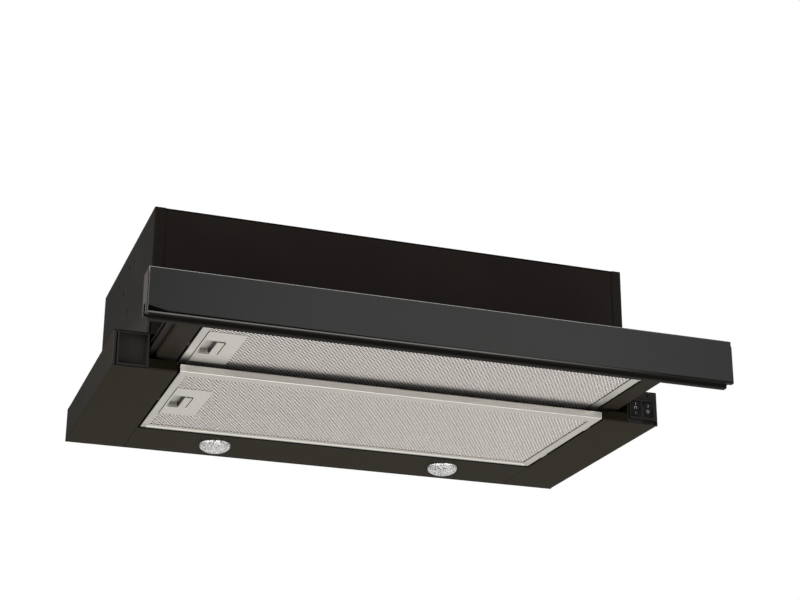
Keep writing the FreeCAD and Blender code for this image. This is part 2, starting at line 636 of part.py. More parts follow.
def motor_bushes():
    """Rubber bushes between the scroll's end plate and the motor's arms."""
    start = SCROLL_HALF_WIDTH + SCROLL_WALL
    bushes = []
    for angle in spider_angles():
        y = WHEEL_Y + SPIDER_RADIUS * math.cos(angle)
        z = WHEEL_Z + SPIDER_RADIUS * math.sin(angle)
        bushes.append(turned([(0, start), (5, start), (5, start + 2.4), (3.6, start + 3.4),
                              (5, start + 4.4), (5, MOTOR_START + 4), (0, MOTOR_START + 4)],
                             (0, y, z), "X"))
    return group(bushes)


def run_capacitor():
    """Motor capacitor in its clip on the rear wall."""
    y, z, radius = -45, 70, 12.5
    can = rod(radius, (-150, y, z), (1, 0, 0), 52)
    clip = ring(radius + 1.5, radius, (-132, y, z), (1, 0, 0), 14)
    foot = block((-132, -118), (y + radius - 2, -SHEET), (z - 4, z + 4)).cut(can)
    return joined(can, clip, foot)


def terminal_box():
    """Ribbed terminal box on the rear wall, below the gland."""
    left, right, front, low, high = 150, 228, -40, 84, 118
    box = block((left, right), (front, -SHEET), (low, high))
    box = box.cut(block((left + 2, right - 2), (front + 2, -SHEET), (low + 2, high - 2)))
    ribs = [block((left + x, left + x + 2), (front - 2, front), (low + 4, high - 4))
            for x in (10, 26, 42, 58)]
    return joined(box, *ribs)


# ---------------------------------------------------------------- lamps
def lamp_set(build):
    """The same lamp piece on both sides of the strip."""
    return group([build(side * LAMP_X) for side in (-1, 1)])


def lamp_lens(x):
    """Domed clear lens whose flange rests on the strip from inside."""
    wall = 1.2
    outer = [(LAMP_RADIUS, UNDER - 2.0), (LAMP_RADIUS * 0.94, UNDER - 4.1),
             (LAMP_RADIUS * 0.76, UNDER - 6.2), (LAMP_RADIUS * 0.48, UNDER - 7.6),
             (0, UNDER - 8.3)]
    inner = [(max(r - wall, 0), z + wall) for r, z in outer]
    profile = [(18.6, UNDER + 2.3), (18.6, UNDER + 1.0), (LAMP_RADIUS, UNDER + 1.0)]
    profile += outer + inner[::-1] + [(LAMP_RADIUS - wall, UNDER + 2.3)]
    return turned(profile, (x, LAMP_Y, 0))


def lamp_reflector(x):
    """Bowl-shaped reflector above the lens, open round the capsule."""
    rim = UNDER + 2.4
    bowl = [(15.4, rim), (17.6, rim), (17.6, rim + 0.8), (15.4, rim + 1.4), (12.6, rim + 7),
            (8.4, rim + 13), (5.4, rim + 16), (4.6, rim + 16), (7.4, rim + 12.6),
            (11.4, rim + 6.8), (14.2, rim + 1.2)]
    return turned(bowl, (x, LAMP_Y, 0))


def lamp_capsule(x):
    """Capsule bulb with its round tip and two pins."""
    tip = UNDER + 4
    glass = turned([(0, tip), (1.8, tip + 0.5), (3, tip + 2), (3.4, tip + 4), (3.4, tip + 12),
                    (3.6, tip + 12), (3.6, tip + 16.4), (0, tip + 16.4)], (x, LAMP_Y, 0))
    pins = [rod(0.4, (x + side * 2, LAMP_Y, tip + 16.4), (0, 0, 1), 6) for side in (-1, 1)]
    return joined(glass, *pins)


def lamp_holder(x):
    """Holder cup that clamps lens and reflector to the strip and grips the pins."""
    rim = UNDER + SHEET
    cup = turned([(18.8, rim), (21, rim), (21, rim + 3), (19.8, rim + 4), (13, rim + 20),
                  (12, rim + 34), (0, rim + 34), (0, rim + 23.6), (6, rim + 23.6),
                  (6, rim + 18.6), (11.4, rim + 18.6), (18.0, rim + 3.6), (18.8, rim + 2.6)],
                 (x, LAMP_Y, 0))
    for side in (-1, 1):
        cup = cup.cut(rod(0.45, (x + side * 2, LAMP_Y, rim + 18), (0, 0, 1), 8))
    return cup


# ---------------------------------------------------------------- pull-out
def front_glass():
    """Tinted glass front with polished, bevelled edges."""
    glass = block((-GLASS_HALF, GLASS_HALF), (PANEL_FRONT, PROFILE_FRONT),
                  (GLASS_BOTTOM, GLASS_BOTTOM + GLASS_HEIGHT))
    rim = [edge for edge in glass.Edges if abs(edge.CenterOfMass.y - PANEL_FRONT) < 1e-6]
    return glass.makeChamfer(0.9, rim)


def front_profile():
    """Extruded carrier behind the glass, with the grip rib under its lower edge."""
    front, rear = PROFILE_FRONT, PROFILE_REAR
    low, high = GLASS_BOTTOM, GLASS_BOTTOM + GLASS_HEIGHT
    section = [(front, high), (rear + 2, high, 0.8), (rear + 2, high - 3), (rear + 0.5, high - 3),
               (rear + 0.5, high - 1.5), (front + 1.5, high - 1.5), (front + 1.5, low + 1.5),
               (rear - 1.5, low + 1.5), (rear - 1.5, ARM_TOP), (rear, ARM_TOP),
               (rear, low - GRIP_DROP, 1.0), (rear - 7, low - GRIP_DROP, 1.0), (rear - 7, low),
               (front, low)]
    profile = prism(section, "YZ", -PROFILE_HALF, PROFILE_HALF)
    ledge = block((-WINDOW_HALF + 0.4, WINDOW_HALF - 0.4), (rear, FRONT_FILTER_FRONT - 2),
                  (ARM_Z, ARM_Z + 1.2))
    profile = joined(profile, ledge)
    for side in (-1, 1):
        for z in ARM_SCREW_Z:
            profile = profile.cut(arm_screw_hole(side, z))
    return profile


def end_cap():
    """Left end cap of the carrier: it edges the glass and plugs into the extrusion."""
    front, rear = PROFILE_FRONT, PROFILE_REAR
    low, high = GLASS_BOTTOM, GLASS_BOTTOM + GLASS_HEIGHT - 1.9
    side = [(front, low), (front, high, 1.0), (rear + 5, high, 2.5), (rear + 2.6, low, 2.5)]
    plate = prism(side, "YZ", -HALF, -PROFILE_HALF)
    plug = block((-PROFILE_HALF, -PROFILE_HALF + 9), (front + 1.7, rear - 1.7),
                 (low + 1.7, high - 1.7))
    hollow = block((-PROFILE_HALF, -PROFILE_HALF + 10), (front + 3.1, rear - 3.1),
                   (low + 3.1, high - 3.1))
    notch = block((-HALF - 1, -PROFILE_HALF + 0.1), (rear - 9.5, rear - 1.5), (low - 1, low + 11))
    wrap = [(PANEL_FRONT + 0.4, low - 0.4, 0.8), (front + 1, low - 0.4), (front + 1, high - 1.5),
            (PANEL_FRONT + 0.4, high - 3.5, 1.0)]
    return joined(plate.cut(notch), plug.cut(hollow), prism(wrap, "YZ", -HALF, -GLASS_HALF - 0.1))


def left_arm():
    """Carriage side: a channel whose lower flange carries the front filter."""
    fold = folded([(-WINDOW_HALF, ARM_Z), (-ARM_X, ARM_Z), (-ARM_X, ARM_TOP),
                   (-ARM_X + 10, ARM_TOP)], -SHEET)
    arm = prism(fold, "XZ", PROFILE_REAR, ARM_REAR)
    corner = [(ARM_REAR - 14, ARM_TOP + 1), (ARM_REAR + 1, ARM_TOP + 1), (ARM_REAR + 1, -16)]
    arm = arm.cut(prism(corner, "YZ", -ARM_X - 1, -ARM_X + 12))
    foot = block((-ARM_X + 0.4, -ARM_X + 16), (PROFILE_REAR, PROFILE_REAR + SHEET),
                 (ARM_Z + 0.5, ARM_TOP - 0.5))
    arm = joined(arm, foot)
    for z in ARM_SCREW_Z:
        arm = arm.cut(arm_screw_hole(-1, z))
    return arm


def arm_screw_hole(side, z):
    """Cutter for one screw hole through an arm's foot and the carrier's rear wall."""
    return rod(ARM_SCREW_HOLE, (side * ARM_SCREW_X, PROFILE_REAR - 3, z), (0, 1, 0), 6)


def cross_bar():
    """Channel that ties the two arms together behind the front filter."""
    front, rear = -226.0, -210.0
    fold = folded([(front, -6), (front, ARM_Z), (rear, ARM_Z), (rear, -6)], SHEET)
    half = ARM_X - SHEET - BEND - 0.1
    bar = prism(fold, "YZ", -half, half)
    for low, high in ((-half - 1, -WINDOW_HALF + 0.2), (WINDOW_HALF - 0.2, half + 1)):
        bar = bar.cut(block((low, high), (front - 1, rear + 1), (ARM_Z - 1, ARM_Z + SHEET)))
    return bar


def arm_screws():
    """Screws that hold the arms' feet to the carrier."""
    return group([screw((side * ARM_SCREW_X, PROFILE_REAR + SHEET, z), (0, 1, 0), head=2.8,
                        length=2.4) for side in (-1, 1) for z in ARM_SCREW_Z])


# ---------------------------------------------------------------- grease filters
def side_bar(front, level, length, border):
    """Left-hand channel bar of a filter frame, cut to its mitres."""
    rear, half, top = front + length, FILTER_HALF, level + FILTER_THICK
    path = [(-half + border, level), (-half, level), (-half, top), (-half + border, top)]
    bar = prism(folded(path, -FOIL, 0.5), "XZ", front, rear)
    inner, end = -half + border * MITRE_REACH, END_BORDER * MITRE_REACH
    cutter = [(-half, front), (inner, front + end), (inner, rear - end), (-half, rear)]
    return bar.common(prism(cutter, "XY", level - 1, top + 1))


def near_bar(front, level):
    """Front channel bar of a filter frame, cut to its mitres."""
    half, top = FILTER_HALF, level + FILTER_THICK
    path = [(front + END_BORDER, level), (front, level), (front, top), (front + END_BORDER, top)]
    bar = prism(folded(path, -FOIL, 0.5), "YZ", -half, half)
    inner = front + END_BORDER * MITRE_REACH
    cutter = [(-half, front), (half, front), (half - RIGHT_BORDER * MITRE_REACH, inner),
              (-half + BORDER * MITRE_REACH, inner)]
    return bar.common(prism(cutter, "XY", level - 1, top + 1))


def filter_frame(front, level, length):
    """Four mitred channel bars round the mesh, with the hooks and the bolt slot."""
    middle, half = front + length / 2, FILTER_HALF
    slot = block((-half - 1, -half + 2), (middle - 6, middle + 6), (level + 1.2, level + 3.8))
    left = side_bar(front, level, length, BORDER).cut(slot)
    hooks = [block((half - FOIL, half + HOOK_REACH),
                   (middle + y - HOOK_HALF_WIDTH, middle + y + HOOK_HALF_WIDTH),
                   (level + HOOK_LEVEL, level + HOOK_LEVEL + SHEET))
             for y in (-HOOK_SPREAD, HOOK_SPREAD)]
    right = joined(mirrored(side_bar(front, level, length, RIGHT_BORDER)), *hooks)
    near = near_bar(front, level)
    far = near.mirror(V(0, middle, 0), V(0, 1, 0))
    return group([left, right, near, joined(far, rear_bead(front + length, level))])


def rear_bead(rear, level):
    """Rolled bead that stiffens a filter frame's rear bar, between its mitres."""
    axis = (-FILTER_HALF + 5.2, rear - 4.2, level - BEAD_DROP + BEAD_RADIUS)
    length = 2 * FILTER_HALF - 5.2 - 7.2
    round_bar = rod(BEAD_RADIUS, axis, (1, 0, 0), length)
    return round_bar.common(block((-FILTER_HALF, FILTER_HALF), (rear - 9, rear),
                                  (level - 2, level + 0.3)))


def filter_mesh(front, level, length):
    """Outer expanded-metal face, with the opening for the latch plate."""
    rear, middle = front + length, front + length / 2
    half, inset = FILTER_HALF - FOIL - 0.2, FOIL + 0.2
    low, high = MESH_LEVELS
    sheet = block((-half, half), (front + inset, rear - inset), (level + low, level + high))
    gap = block((-half - 1, LATCH_LEFT + LATCH_WIDTH + 0.3),
                (middle - LATCH_LENGTH / 2 - 0.3, middle + LATCH_LENGTH / 2 + 0.3),
                (level, level + 3))
    return sheet.cut(gap)


def filter_core(front, level, length):
    """Inner foil pack and the back mesh, cut out round the latch box."""
    rear, middle = front + length, front + length / 2
    half, inset = FILTER_HALF - FOIL - 0.2, FOIL + 0.2
    reach = LATCH_BOX_HALF + 1
    gap = block((-half - 1, LATCH_BOX_RIGHT + 1), (middle - reach, middle + reach),
                (level, level + FILTER_THICK))
    layers = []
    for low, high in (FOIL_LEVELS, BACK_LEVELS):
        layer = block((-half, half), (front + inset, rear - inset), (level + low, level + high))
        layers.append(layer.cut(gap))
    return group(layers)


def rounded(x, y, radius):
    """Corner list of a rectangle with rounded corners."""
    return [(x[0], y[0], radius), (x[1], y[0], radius), (x[1], y[1], radius), (x[0], y[1], radius)]


def latch_plate(front, level, length):
    """Pressed plate with the thumb window and the box that guides the slider."""
    middle = front + length / 2
    right = LATCH_LEFT + LATCH_WIDTH
    plate = [(LATCH_LEFT, middle - LATCH_LENGTH / 2), (right, middle - LATCH_LENGTH / 2, 1.5),
             (right, middle + LATCH_LENGTH / 2, 1.5), (LATCH_LEFT, middle + LATCH_LENGTH / 2)]
    low, high = MESH_LEVELS
    body = prism(plate, "XY", level + low, level + high)
    outer, inner = LATCH_BOX_HALF, LATCH_BOX_HALF - 1.2
    box = block((LATCH_LEFT + 0.1, LATCH_BOX_RIGHT), (middle - outer, middle + outer),
                (level + high, level + LATCH_BOX_TOP))
    box = box.cut(block((LATCH_LEFT + 1.3, LATCH_BOX_RIGHT - 1.2), (middle - inner, middle + inner),
                        (level + high, level + LATCH_BOX_TOP - 0.8)))
    body = joined(body, box)
    window = rounded((LATCH_LEFT + 1.9, KNOB_RIGHT + KNOB_GAP),
                     (middle - POCKET_HALF, middle + POCKET_HALF), 3)
    body = body.cut(prism(window, "XY", level, level + 2))
    return body.cut(block((LATCH_LEFT - 1, LATCH_LEFT + 2.5), (middle - 6, middle + 6),
                          (level + 1.2, level + 4)))


def latch_slider(front, level, length):
    """Sliding bolt: a finger cup with a raised knob bar along its right-hand side."""
    middle = front + length / 2
    left, right = LATCH_LEFT + 1.5, KNOB_RIGHT + 0.1
    outer, inner = POCKET_HALF + 0.4, POCKET_HALF - 0.8
    body = prism(rounded((left, right), (middle - outer, middle + outer), 2.2), "XY",
                 level + 1.8, level + LATCH_BOX_TOP - 1)
    cup = rounded((left + 1.2, KNOB_LEFT), (middle - inner, middle + inner), 3)
    body = body.cut(prism(cup, "XY", level + 1, level + POCKET_TOP))
    bolt = [(BOLT_TIP, middle - 4, 1.5), (left + 0.5, middle - 5), (left + 0.5, middle + 5),
            (BOLT_TIP, middle + 4, 1.5)]
    neck = block((KNOB_LEFT, KNOB_LEFT + 2), (middle - inner + 1, middle + inner - 1),
                 (level + 0.6, level + 2))
    knob = rounded((KNOB_LEFT, KNOB_RIGHT), (middle - KNOB_HALF, middle + KNOB_HALF), 2)
    return joined(body, prism(bolt, "XY", level + 2.0, level + 3.4), neck,
                  prism(knob, "XY", level + 0.1, level + 0.8))


def latch_spring(front, level, length):
    """Zigzag leaf spring between the slider and the right wall of its box."""
    middle = front + length / 2
    left, right = KNOB_RIGHT + 0.8, LATCH_BOX_RIGHT - 1.6
    path = [(right, middle - 16), (left, middle - 8), (right, middle), (left, middle + 8),
            (right, middle + 16)]
    return prism(folded(path, 0.3, 0.3), "XY", level + 2.6, level + 5.0)


# ---------------------------------------------------------------- fasteners
def collar_screws():
    """Screws on the collar's flange."""
    return group([screw((x, y, TOP + 2), (0, 0, 1), length=3.4)
                  for x, y in collar_screw_places()])


def housing_screws():
    """The switch housing's screw and the screws of the fixed slide rails."""
    shapes = [screw((291, BODY_FRONT, -4.6), (0, -1, 0), head=2.4, length=4)]
    for side in (-1, 1):
        for y in RAIL_SCREW_Y:
            shapes.append(screw((side * UPPER_HALF, y, RAIL_Z), (side, 0, 0), head=2.6,
                                length=1.9))
    return group(shapes)


# ---------------------------------------------------------------- build
def filter_nodes(name, front, level, length):
    """All pieces of one grease filter, named after it."""
    return {
        f"{name}_filter_frame": filter_frame(front, level, length),
        f"{name}_filter_mesh": filter_mesh(front, level, length),
        f"{name}_filter_core": filter_core(front, level, length),
        f"{name}_latch_plate": latch_plate(front, level, length),
        f"{name}_latch_slider": latch_slider(front, level, length),
        f"{name}_latch_spring": latch_spring(front, level, length),
    }


def build_nodes():
    """Every piece of the hood, by node name."""
    nodes = {
        "left_cheek": left_cheek(),
        "right_cheek": mirrored(left_cheek()),
        "left_side_plate": left_side_plate(),
        "right_side_plate": mirrored(left_side_plate()),
        "front_cover": front_cover(),
        "top_plate": top_plate(),
        "rear_wall": rear_wall(),
        "lamp_strip": lamp_strip(),
        "blank_cap": blank_cap(),
        "switch_housing": switch_housing(),
        "switch_block": switch_block(),
        "fan_rocker": rocker(FAN_ROCKER_X, 0),
        "light_rocker": rocker(LIGHT_ROCKER_X, LIGHT_REST_TILT),
        "left_slide_bracket": left_slide_bracket(),
        "right_slide_bracket": mirrored(left_slide_bracket()),
        "left_slide_rail": slide_rail(),
        "right_slide_rail": mirrored(slide_rail()),
        "left_slide_runner": slide_runner(),
        "right_slide_runner": mirrored(slide_runner()),
        "left_ball_cage": ball_cage(),
        "right_ball_cage": mirrored(ball_cage()),
        "outlet_collar": outlet_collar(),
        "collar_screws": collar_screws(),
        "flap_pin": rod(PIN_RADIUS, (-COLLAR_RADIUS, DUCT_Y, PIN_Z), (1, 0, 0), 2 * COLLAR_RADIUS),
        "front_flap": outlet_flap(-1),
        "rear_flap": outlet_flap(1),
        "cable_gland": cable_gland(),
        "fan_scroll": fan_scroll(),
        "left_fan_side": fan_side(-1),
        "right_fan_side": fan_side(1),
        "impeller": impeller(),
        "fan_motor": fan_motor(),
        "motor_bushes": motor_bushes(),
        "run_capacitor": run_capacitor(),
        "terminal_box": terminal_box(),
        "lamp_lenses": lamp_set(lamp_lens),
        "lamp_reflectors": lamp_set(lamp_reflector),
        "lamp_capsules": lamp_set(lamp_capsule),
        "lamp_holders": lamp_set(lamp_holder),
        "housing_screws": housing_screws(),
        "front_glass": front_glass(),
        "front_profile": front_profile(),
        "left_end_cap": end_cap(),
        "right_end_cap": mirrored(end_cap()),
        "left_arm": left_arm(),
        "right_arm": mirrored(left_arm()),
        "cross_bar": cross_bar(),
        "arm_screws": arm_screws(),
    }
    nodes.update(filter_nodes("rear", FILTER_FRONT, UNDER, REAR_FILTER_LENGTH))
    nodes.update(filter_nodes("front", FRONT_FILTER_FRONT, ARM_Z, FRONT_FILTER_LENGTH))
    return nodes


os.makedirs("parts", exist_ok=True)
for node, shape in build_nodes().items():
    if not shape.isValid():
        raise ValueError(f"{node} is not a valid shape")
    shape.exportStep(f"parts/{node}.step")
    print(f"{node:22s} solids {len(shape.Solids):3d}  volume {shape.Volume / 1000:9.2f} cm3")
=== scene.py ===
"""Looks of the pull-out range hood: the finish of every CAD piece, and the pieces that are finer than CAD.

Metres, in the part's frame: +X to the user's right, +Y to the wall, +Z up, z = 0 at the cabinet's underside.
"""
import json
import logging
import math
from dataclasses import dataclass, field, replace
from enum import Enum
from typing import Iterable, Sequence

import bmesh
import bpy
from mathutils import Matrix, Vector


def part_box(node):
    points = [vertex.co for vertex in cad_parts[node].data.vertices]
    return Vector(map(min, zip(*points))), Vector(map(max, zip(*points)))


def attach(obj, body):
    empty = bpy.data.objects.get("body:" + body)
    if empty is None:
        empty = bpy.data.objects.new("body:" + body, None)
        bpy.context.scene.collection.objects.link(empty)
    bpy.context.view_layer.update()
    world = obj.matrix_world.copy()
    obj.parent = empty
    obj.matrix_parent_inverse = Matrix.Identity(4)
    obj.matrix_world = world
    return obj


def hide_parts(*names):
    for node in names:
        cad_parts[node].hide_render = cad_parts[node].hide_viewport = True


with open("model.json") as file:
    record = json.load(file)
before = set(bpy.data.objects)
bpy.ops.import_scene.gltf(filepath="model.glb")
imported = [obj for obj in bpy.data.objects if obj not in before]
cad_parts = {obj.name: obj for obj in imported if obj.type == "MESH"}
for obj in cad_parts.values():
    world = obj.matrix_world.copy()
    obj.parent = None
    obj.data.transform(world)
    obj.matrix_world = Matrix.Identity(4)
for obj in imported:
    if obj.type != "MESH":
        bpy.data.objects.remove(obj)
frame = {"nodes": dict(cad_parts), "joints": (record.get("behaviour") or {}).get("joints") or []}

LOG = logging.getLogger("range_hood")
MM = 0.001
TINY = 1e-6
Colour = tuple[float, float, float]
Point = tuple[float, float, float]
Verts = list[bmesh.types.BMVert]
Node = bpy.types.Node
Socket = bpy.types.NodeSocket
Sockets = bpy.types.bpy_prop_collection
WHITE: Colour = (1.0, 1.0, 1.0)
WARM_WHITE: Colour = (1.0, 0.985, 0.965)


class Side(Enum):
    """The two mirrored sides of the hood, as signs of x."""

    LEFT = -1
    RIGHT = 1


class Effect(Enum):
    """Surface effects that several finishes share, each a node group."""

    EDGES = "edge_wear"
    GRAIN = "fine_grain"
    STREAKS = "brushed_streaks"
    FILM = "dust_film"


def srgb(red: float, green: float, blue: float) -> Colour:
    """Turns display values of 0 to 255 into linear light."""
    parts = [value / 255 for value in (red, green, blue)]
    return tuple(p / 12.92 if p <= 0.04045 else ((p + 0.055) / 1.055) ** 2.4 for p in parts)


def scaled(colour: Colour, factor: float, lift: float = 0.0) -> Colour:
    """Multiplies a colour, lifts every channel alike, and stops at 1."""
    return tuple(min(1.0, c * factor + lift) for c in colour)


# ---------------------------------------------------------------- shader wiring
class Wiring:
    """Adds and joins the nodes of one shader tree."""

    def __init__(self, tree: bpy.types.NodeTree) -> None:
        """Works on that tree."""
        self.tree = tree

    def put(self, socket: Socket, value: object) -> None:
        """Links another socket to an input, or sets a constant.

        Args:
            socket: The input.
            value: The other socket, or the constant.
        """
        if isinstance(value, Socket):
            self.tree.links.new(value, socket)
        elif socket.type == "RGBA" and len(value) == 3:
            socket.default_value = (*value, 1.0)
        else:
            socket.default_value = value

    def add(self, kind: str, values: dict[str | int, object] | None = None, **settings: object) -> Node:
        """Adds a node, with its inputs linked or set.

        Args:
            kind: The node's type.
            values: What goes into each input: a socket to link, or a constant.
            **settings: The node's own properties.

        Returns:
            The new node.
        """
        node = self.tree.nodes.new(kind)
        for name, value in settings.items():
            setattr(node, name, value)
        for name, value in (values or {}).items():
            self.put(node.inputs[name], value)
        return node

    def feed(self, shader: Node, **values: object) -> None:
        """Links or sets a shader's inputs, named with underscores for spaces."""
        for name, value in values.items():
            self.put(shader.inputs[name.replace("_", " ")], value)

    def math(self, operation: str, first: object, second: object, clamp: bool = False) -> Socket:
        """Adds a Math node on two values or sockets."""
        node = self.add("ShaderNodeMath", {0: first, 1: second}, operation=operation, use_clamp=clamp)
        return node.outputs[0]

    def times(self, first: object, *others: object) -> Socket:
        """Multiplies values or sockets.

        Args:
            first: The first of them.
            *others: The others.

        Returns:
            The product.
        """
        for other in others:
            first = self.math("MULTIPLY", first, other)
        return first

    def ramp(self, value: object, low: float, high: float, start: float = 0.0, end: float = 1.0) -> Socket:
        """Maps a value from low to high onto start to end, clamped."""
        return self.add("ShaderNodeMapRange", {0: value, 1: low, 2: high, 3: start, 4: end}).outputs[0]

    def blend(self, share: object, first: object, second: object) -> Socket:
        """Mixes two colours.

        Args:
            share: How much of the second colour shows.
            first: The first colour or socket.
            second: The second colour or socket.

        Returns:
            The mixed colour's socket.
        """
        node = self.add("ShaderNodeMix", data_type="RGBA")
        sockets = {socket.identifier: socket for socket in (*node.inputs, *node.outputs)}
        for name, value in (("Factor_Float", share), ("A_Color", first), ("B_Color", second)):
            self.put(sockets[name], value)
        return sockets["Result_Color"]

    def noise(self, vector: object, scale: object, detail: float = 2.0, roughness: float = 0.5) -> Socket:
        """Adds a noise texture; its scale counts per metre."""
        values = {"Vector": vector, "Scale": scale, "Detail": detail, "Roughness": roughness}
        return self.add("ShaderNodeTexNoise", values).outputs[0]

    def bump(self, height: object, strength: float, distance: float, **normal: object) -> Socket:
        """Adds relief, on a changed normal if one is given."""
        values = {"Height": height, "Strength": strength, "Distance": distance, **normal}
        return self.add("ShaderNodeBump", values).outputs[0]

    def point(self) -> Socket:
        """Gives the point on the piece."""
        return self.add("ShaderNodeTexCoord").outputs["Object"]

    def place(self) -> Sockets:
        """Gives the X, Y and Z of the point on the piece."""
        return self.add("ShaderNodeSeparateXYZ", {0: self.point()}).outputs

    def facing(self, kind: str = "True Normal") -> Sockets:
        """Gives the X, Y and Z of the surface's direction."""
        normal = self.add("ShaderNodeNewGeometry").outputs[kind]
        return self.add("ShaderNodeSeparateXYZ", {0: normal}).outputs

    def effect(self, kind: Effect, **values: object) -> Sockets:
        """Places a shared effect; its inputs are named in lower case."""
        named = {name.capitalize(): value for name, value in values.items()}
        return self.add("ShaderNodeGroup", named, node_tree=EffectLibrary.group(kind)).outputs


class EffectLibrary:
    """Builds each shared effect once, as a node group on Object coordinates."""

    @classmethod
    def group(cls, kind: Effect) -> bpy.types.NodeTree:
        """Gives an effect's group, and builds it the first time.

        Args:
            kind: Which effect; the method that builds it has the same name.

        Returns:
            The node group.
        """
        if kind.value not in bpy.data.node_groups:
            getattr(cls, kind.value)()
        return bpy.data.node_groups[kind.value]

    @staticmethod
    def start(kind: Effect, inputs: dict[str, object], **outputs: str) -> tuple[Wiring, Sockets, Sockets]:
        """Starts a group with its sockets.

        Args:
            kind: Which effect the group is.
            inputs: Each input's name and default; a vector where the default is a tuple.
            **outputs: Each output's name, and Float or Vector.

        Returns:
            The group's wiring, its given values and its results' inputs.
        """
        tree = bpy.data.node_groups.new(kind.value, "ShaderNodeTree")
        for name, value in inputs.items():
            socket_type = "NodeSocketVector" if isinstance(value, tuple) else "NodeSocketFloat"
            tree.interface.new_socket(name, in_out="INPUT", socket_type=socket_type).default_value = value
        for name, socket_type in outputs.items():
            tree.interface.new_socket(name, in_out="OUTPUT", socket_type=f"NodeSocket{socket_type}")
        wiring = Wiring(tree)
        return wiring, wiring.add("NodeGroupInput").outputs, wiring.add("NodeGroupOutput").inputs

    @classmethod
    def edge_wear(cls) -> None:
        """Rounded-edge normal, and a broken mask along the edges."""
        wiring, given, out = cls.start(Effect.EDGES, {"Radius": 0.5 * MM, "Patchiness": 90.0}, Mask="Float",
                                       Normal="Vector")
        bevel = wiring.add("ShaderNodeBevel", {"Radius": given["Radius"]}, samples=4).outputs[0]
        flat = wiring.add("ShaderNodeNewGeometry").outputs["Normal"]
        dot = wiring.add("ShaderNodeVectorMath", {0: bevel, 1: flat}, operation="DOT_PRODUCT")
        turned = wiring.ramp(dot.outputs["Value"], 0.995, 0.80)
        patches = wiring.noise(wiring.point(), given["Patchiness"], 3.0, 0.6)
        wiring.put(out["Mask"], wiring.times(turned, wiring.ramp(patches, 0.42, 0.62, 0.15, 1.0)))
        wiring.put(out["Normal"], bevel)

    @classmethod
    def fine_grain(cls) -> None:
        """Fine even relief, and a slow drift of tone."""
        wiring, given, out = cls.start(Effect.GRAIN, {"Scale": 900.0, "Drift": 7.0}, Height="Float",
                                       Tone="Float")
        wiring.put(out["Height"], wiring.noise(wiring.point(), given["Scale"]))
        wiring.put(out["Tone"], wiring.noise(wiring.point(), given["Drift"]))

    @classmethod
    def brushed_streaks(cls) -> None:
        """Long fine streaks along one axis, as rolled or brushed metal has."""
        wiring, given, out = cls.start(Effect.STREAKS, {"Stretch": (8.0, 900.0, 900.0), "Strength": 1.0},
                                       Height="Float", Streak="Float")
        drawn = wiring.add("ShaderNodeVectorMath", {0: wiring.point(), 1: given["Stretch"]},
                           operation="MULTIPLY").outputs[0]
        fine = wiring.times(wiring.noise(drawn, 1.0, 3.0, 0.6), 0.6)
        coarse = wiring.times(wiring.noise(drawn, 0.17), 0.4)
        both = wiring.math("ADD", fine, coarse)
        strength = wiring.times(wiring.math("SUBTRACT", both, 0.5), given["Strength"])
        wiring.put(out["Height"], both)
        wiring.put(out["Streak"], wiring.math("ADD", strength, 0.5, clamp=True))

    @classmethod
    def dust_film(cls) -> None:
        """Thin uneven film, stronger on faces that look up."""
        wiring, given, out = cls.start(Effect.FILM, {"Amount": 0.3, "Scale": 24.0}, Mask="Float")
        cloud = wiring.ramp(wiring.noise(wiring.point(), given["Scale"], 5.0, 0.65), 0.40, 0.75)
        upward = wiring.ramp(wiring.facing("Normal")["Z"], 0.2, 0.95, 0.25, 1.0)
        both = wiring.times(cloud, upward)
        wiring.put(out["Mask"], wiring.math("MULTIPLY", both, given["Amount"], clamp=True))


# ---------------------------------------------------------------- finishes
@dataclass(frozen=True)
class Band:
    """A change of tone along one axis, from 1 at its start to the tone at its end."""

    axis: str
    start: float
    end: float
    tone: float


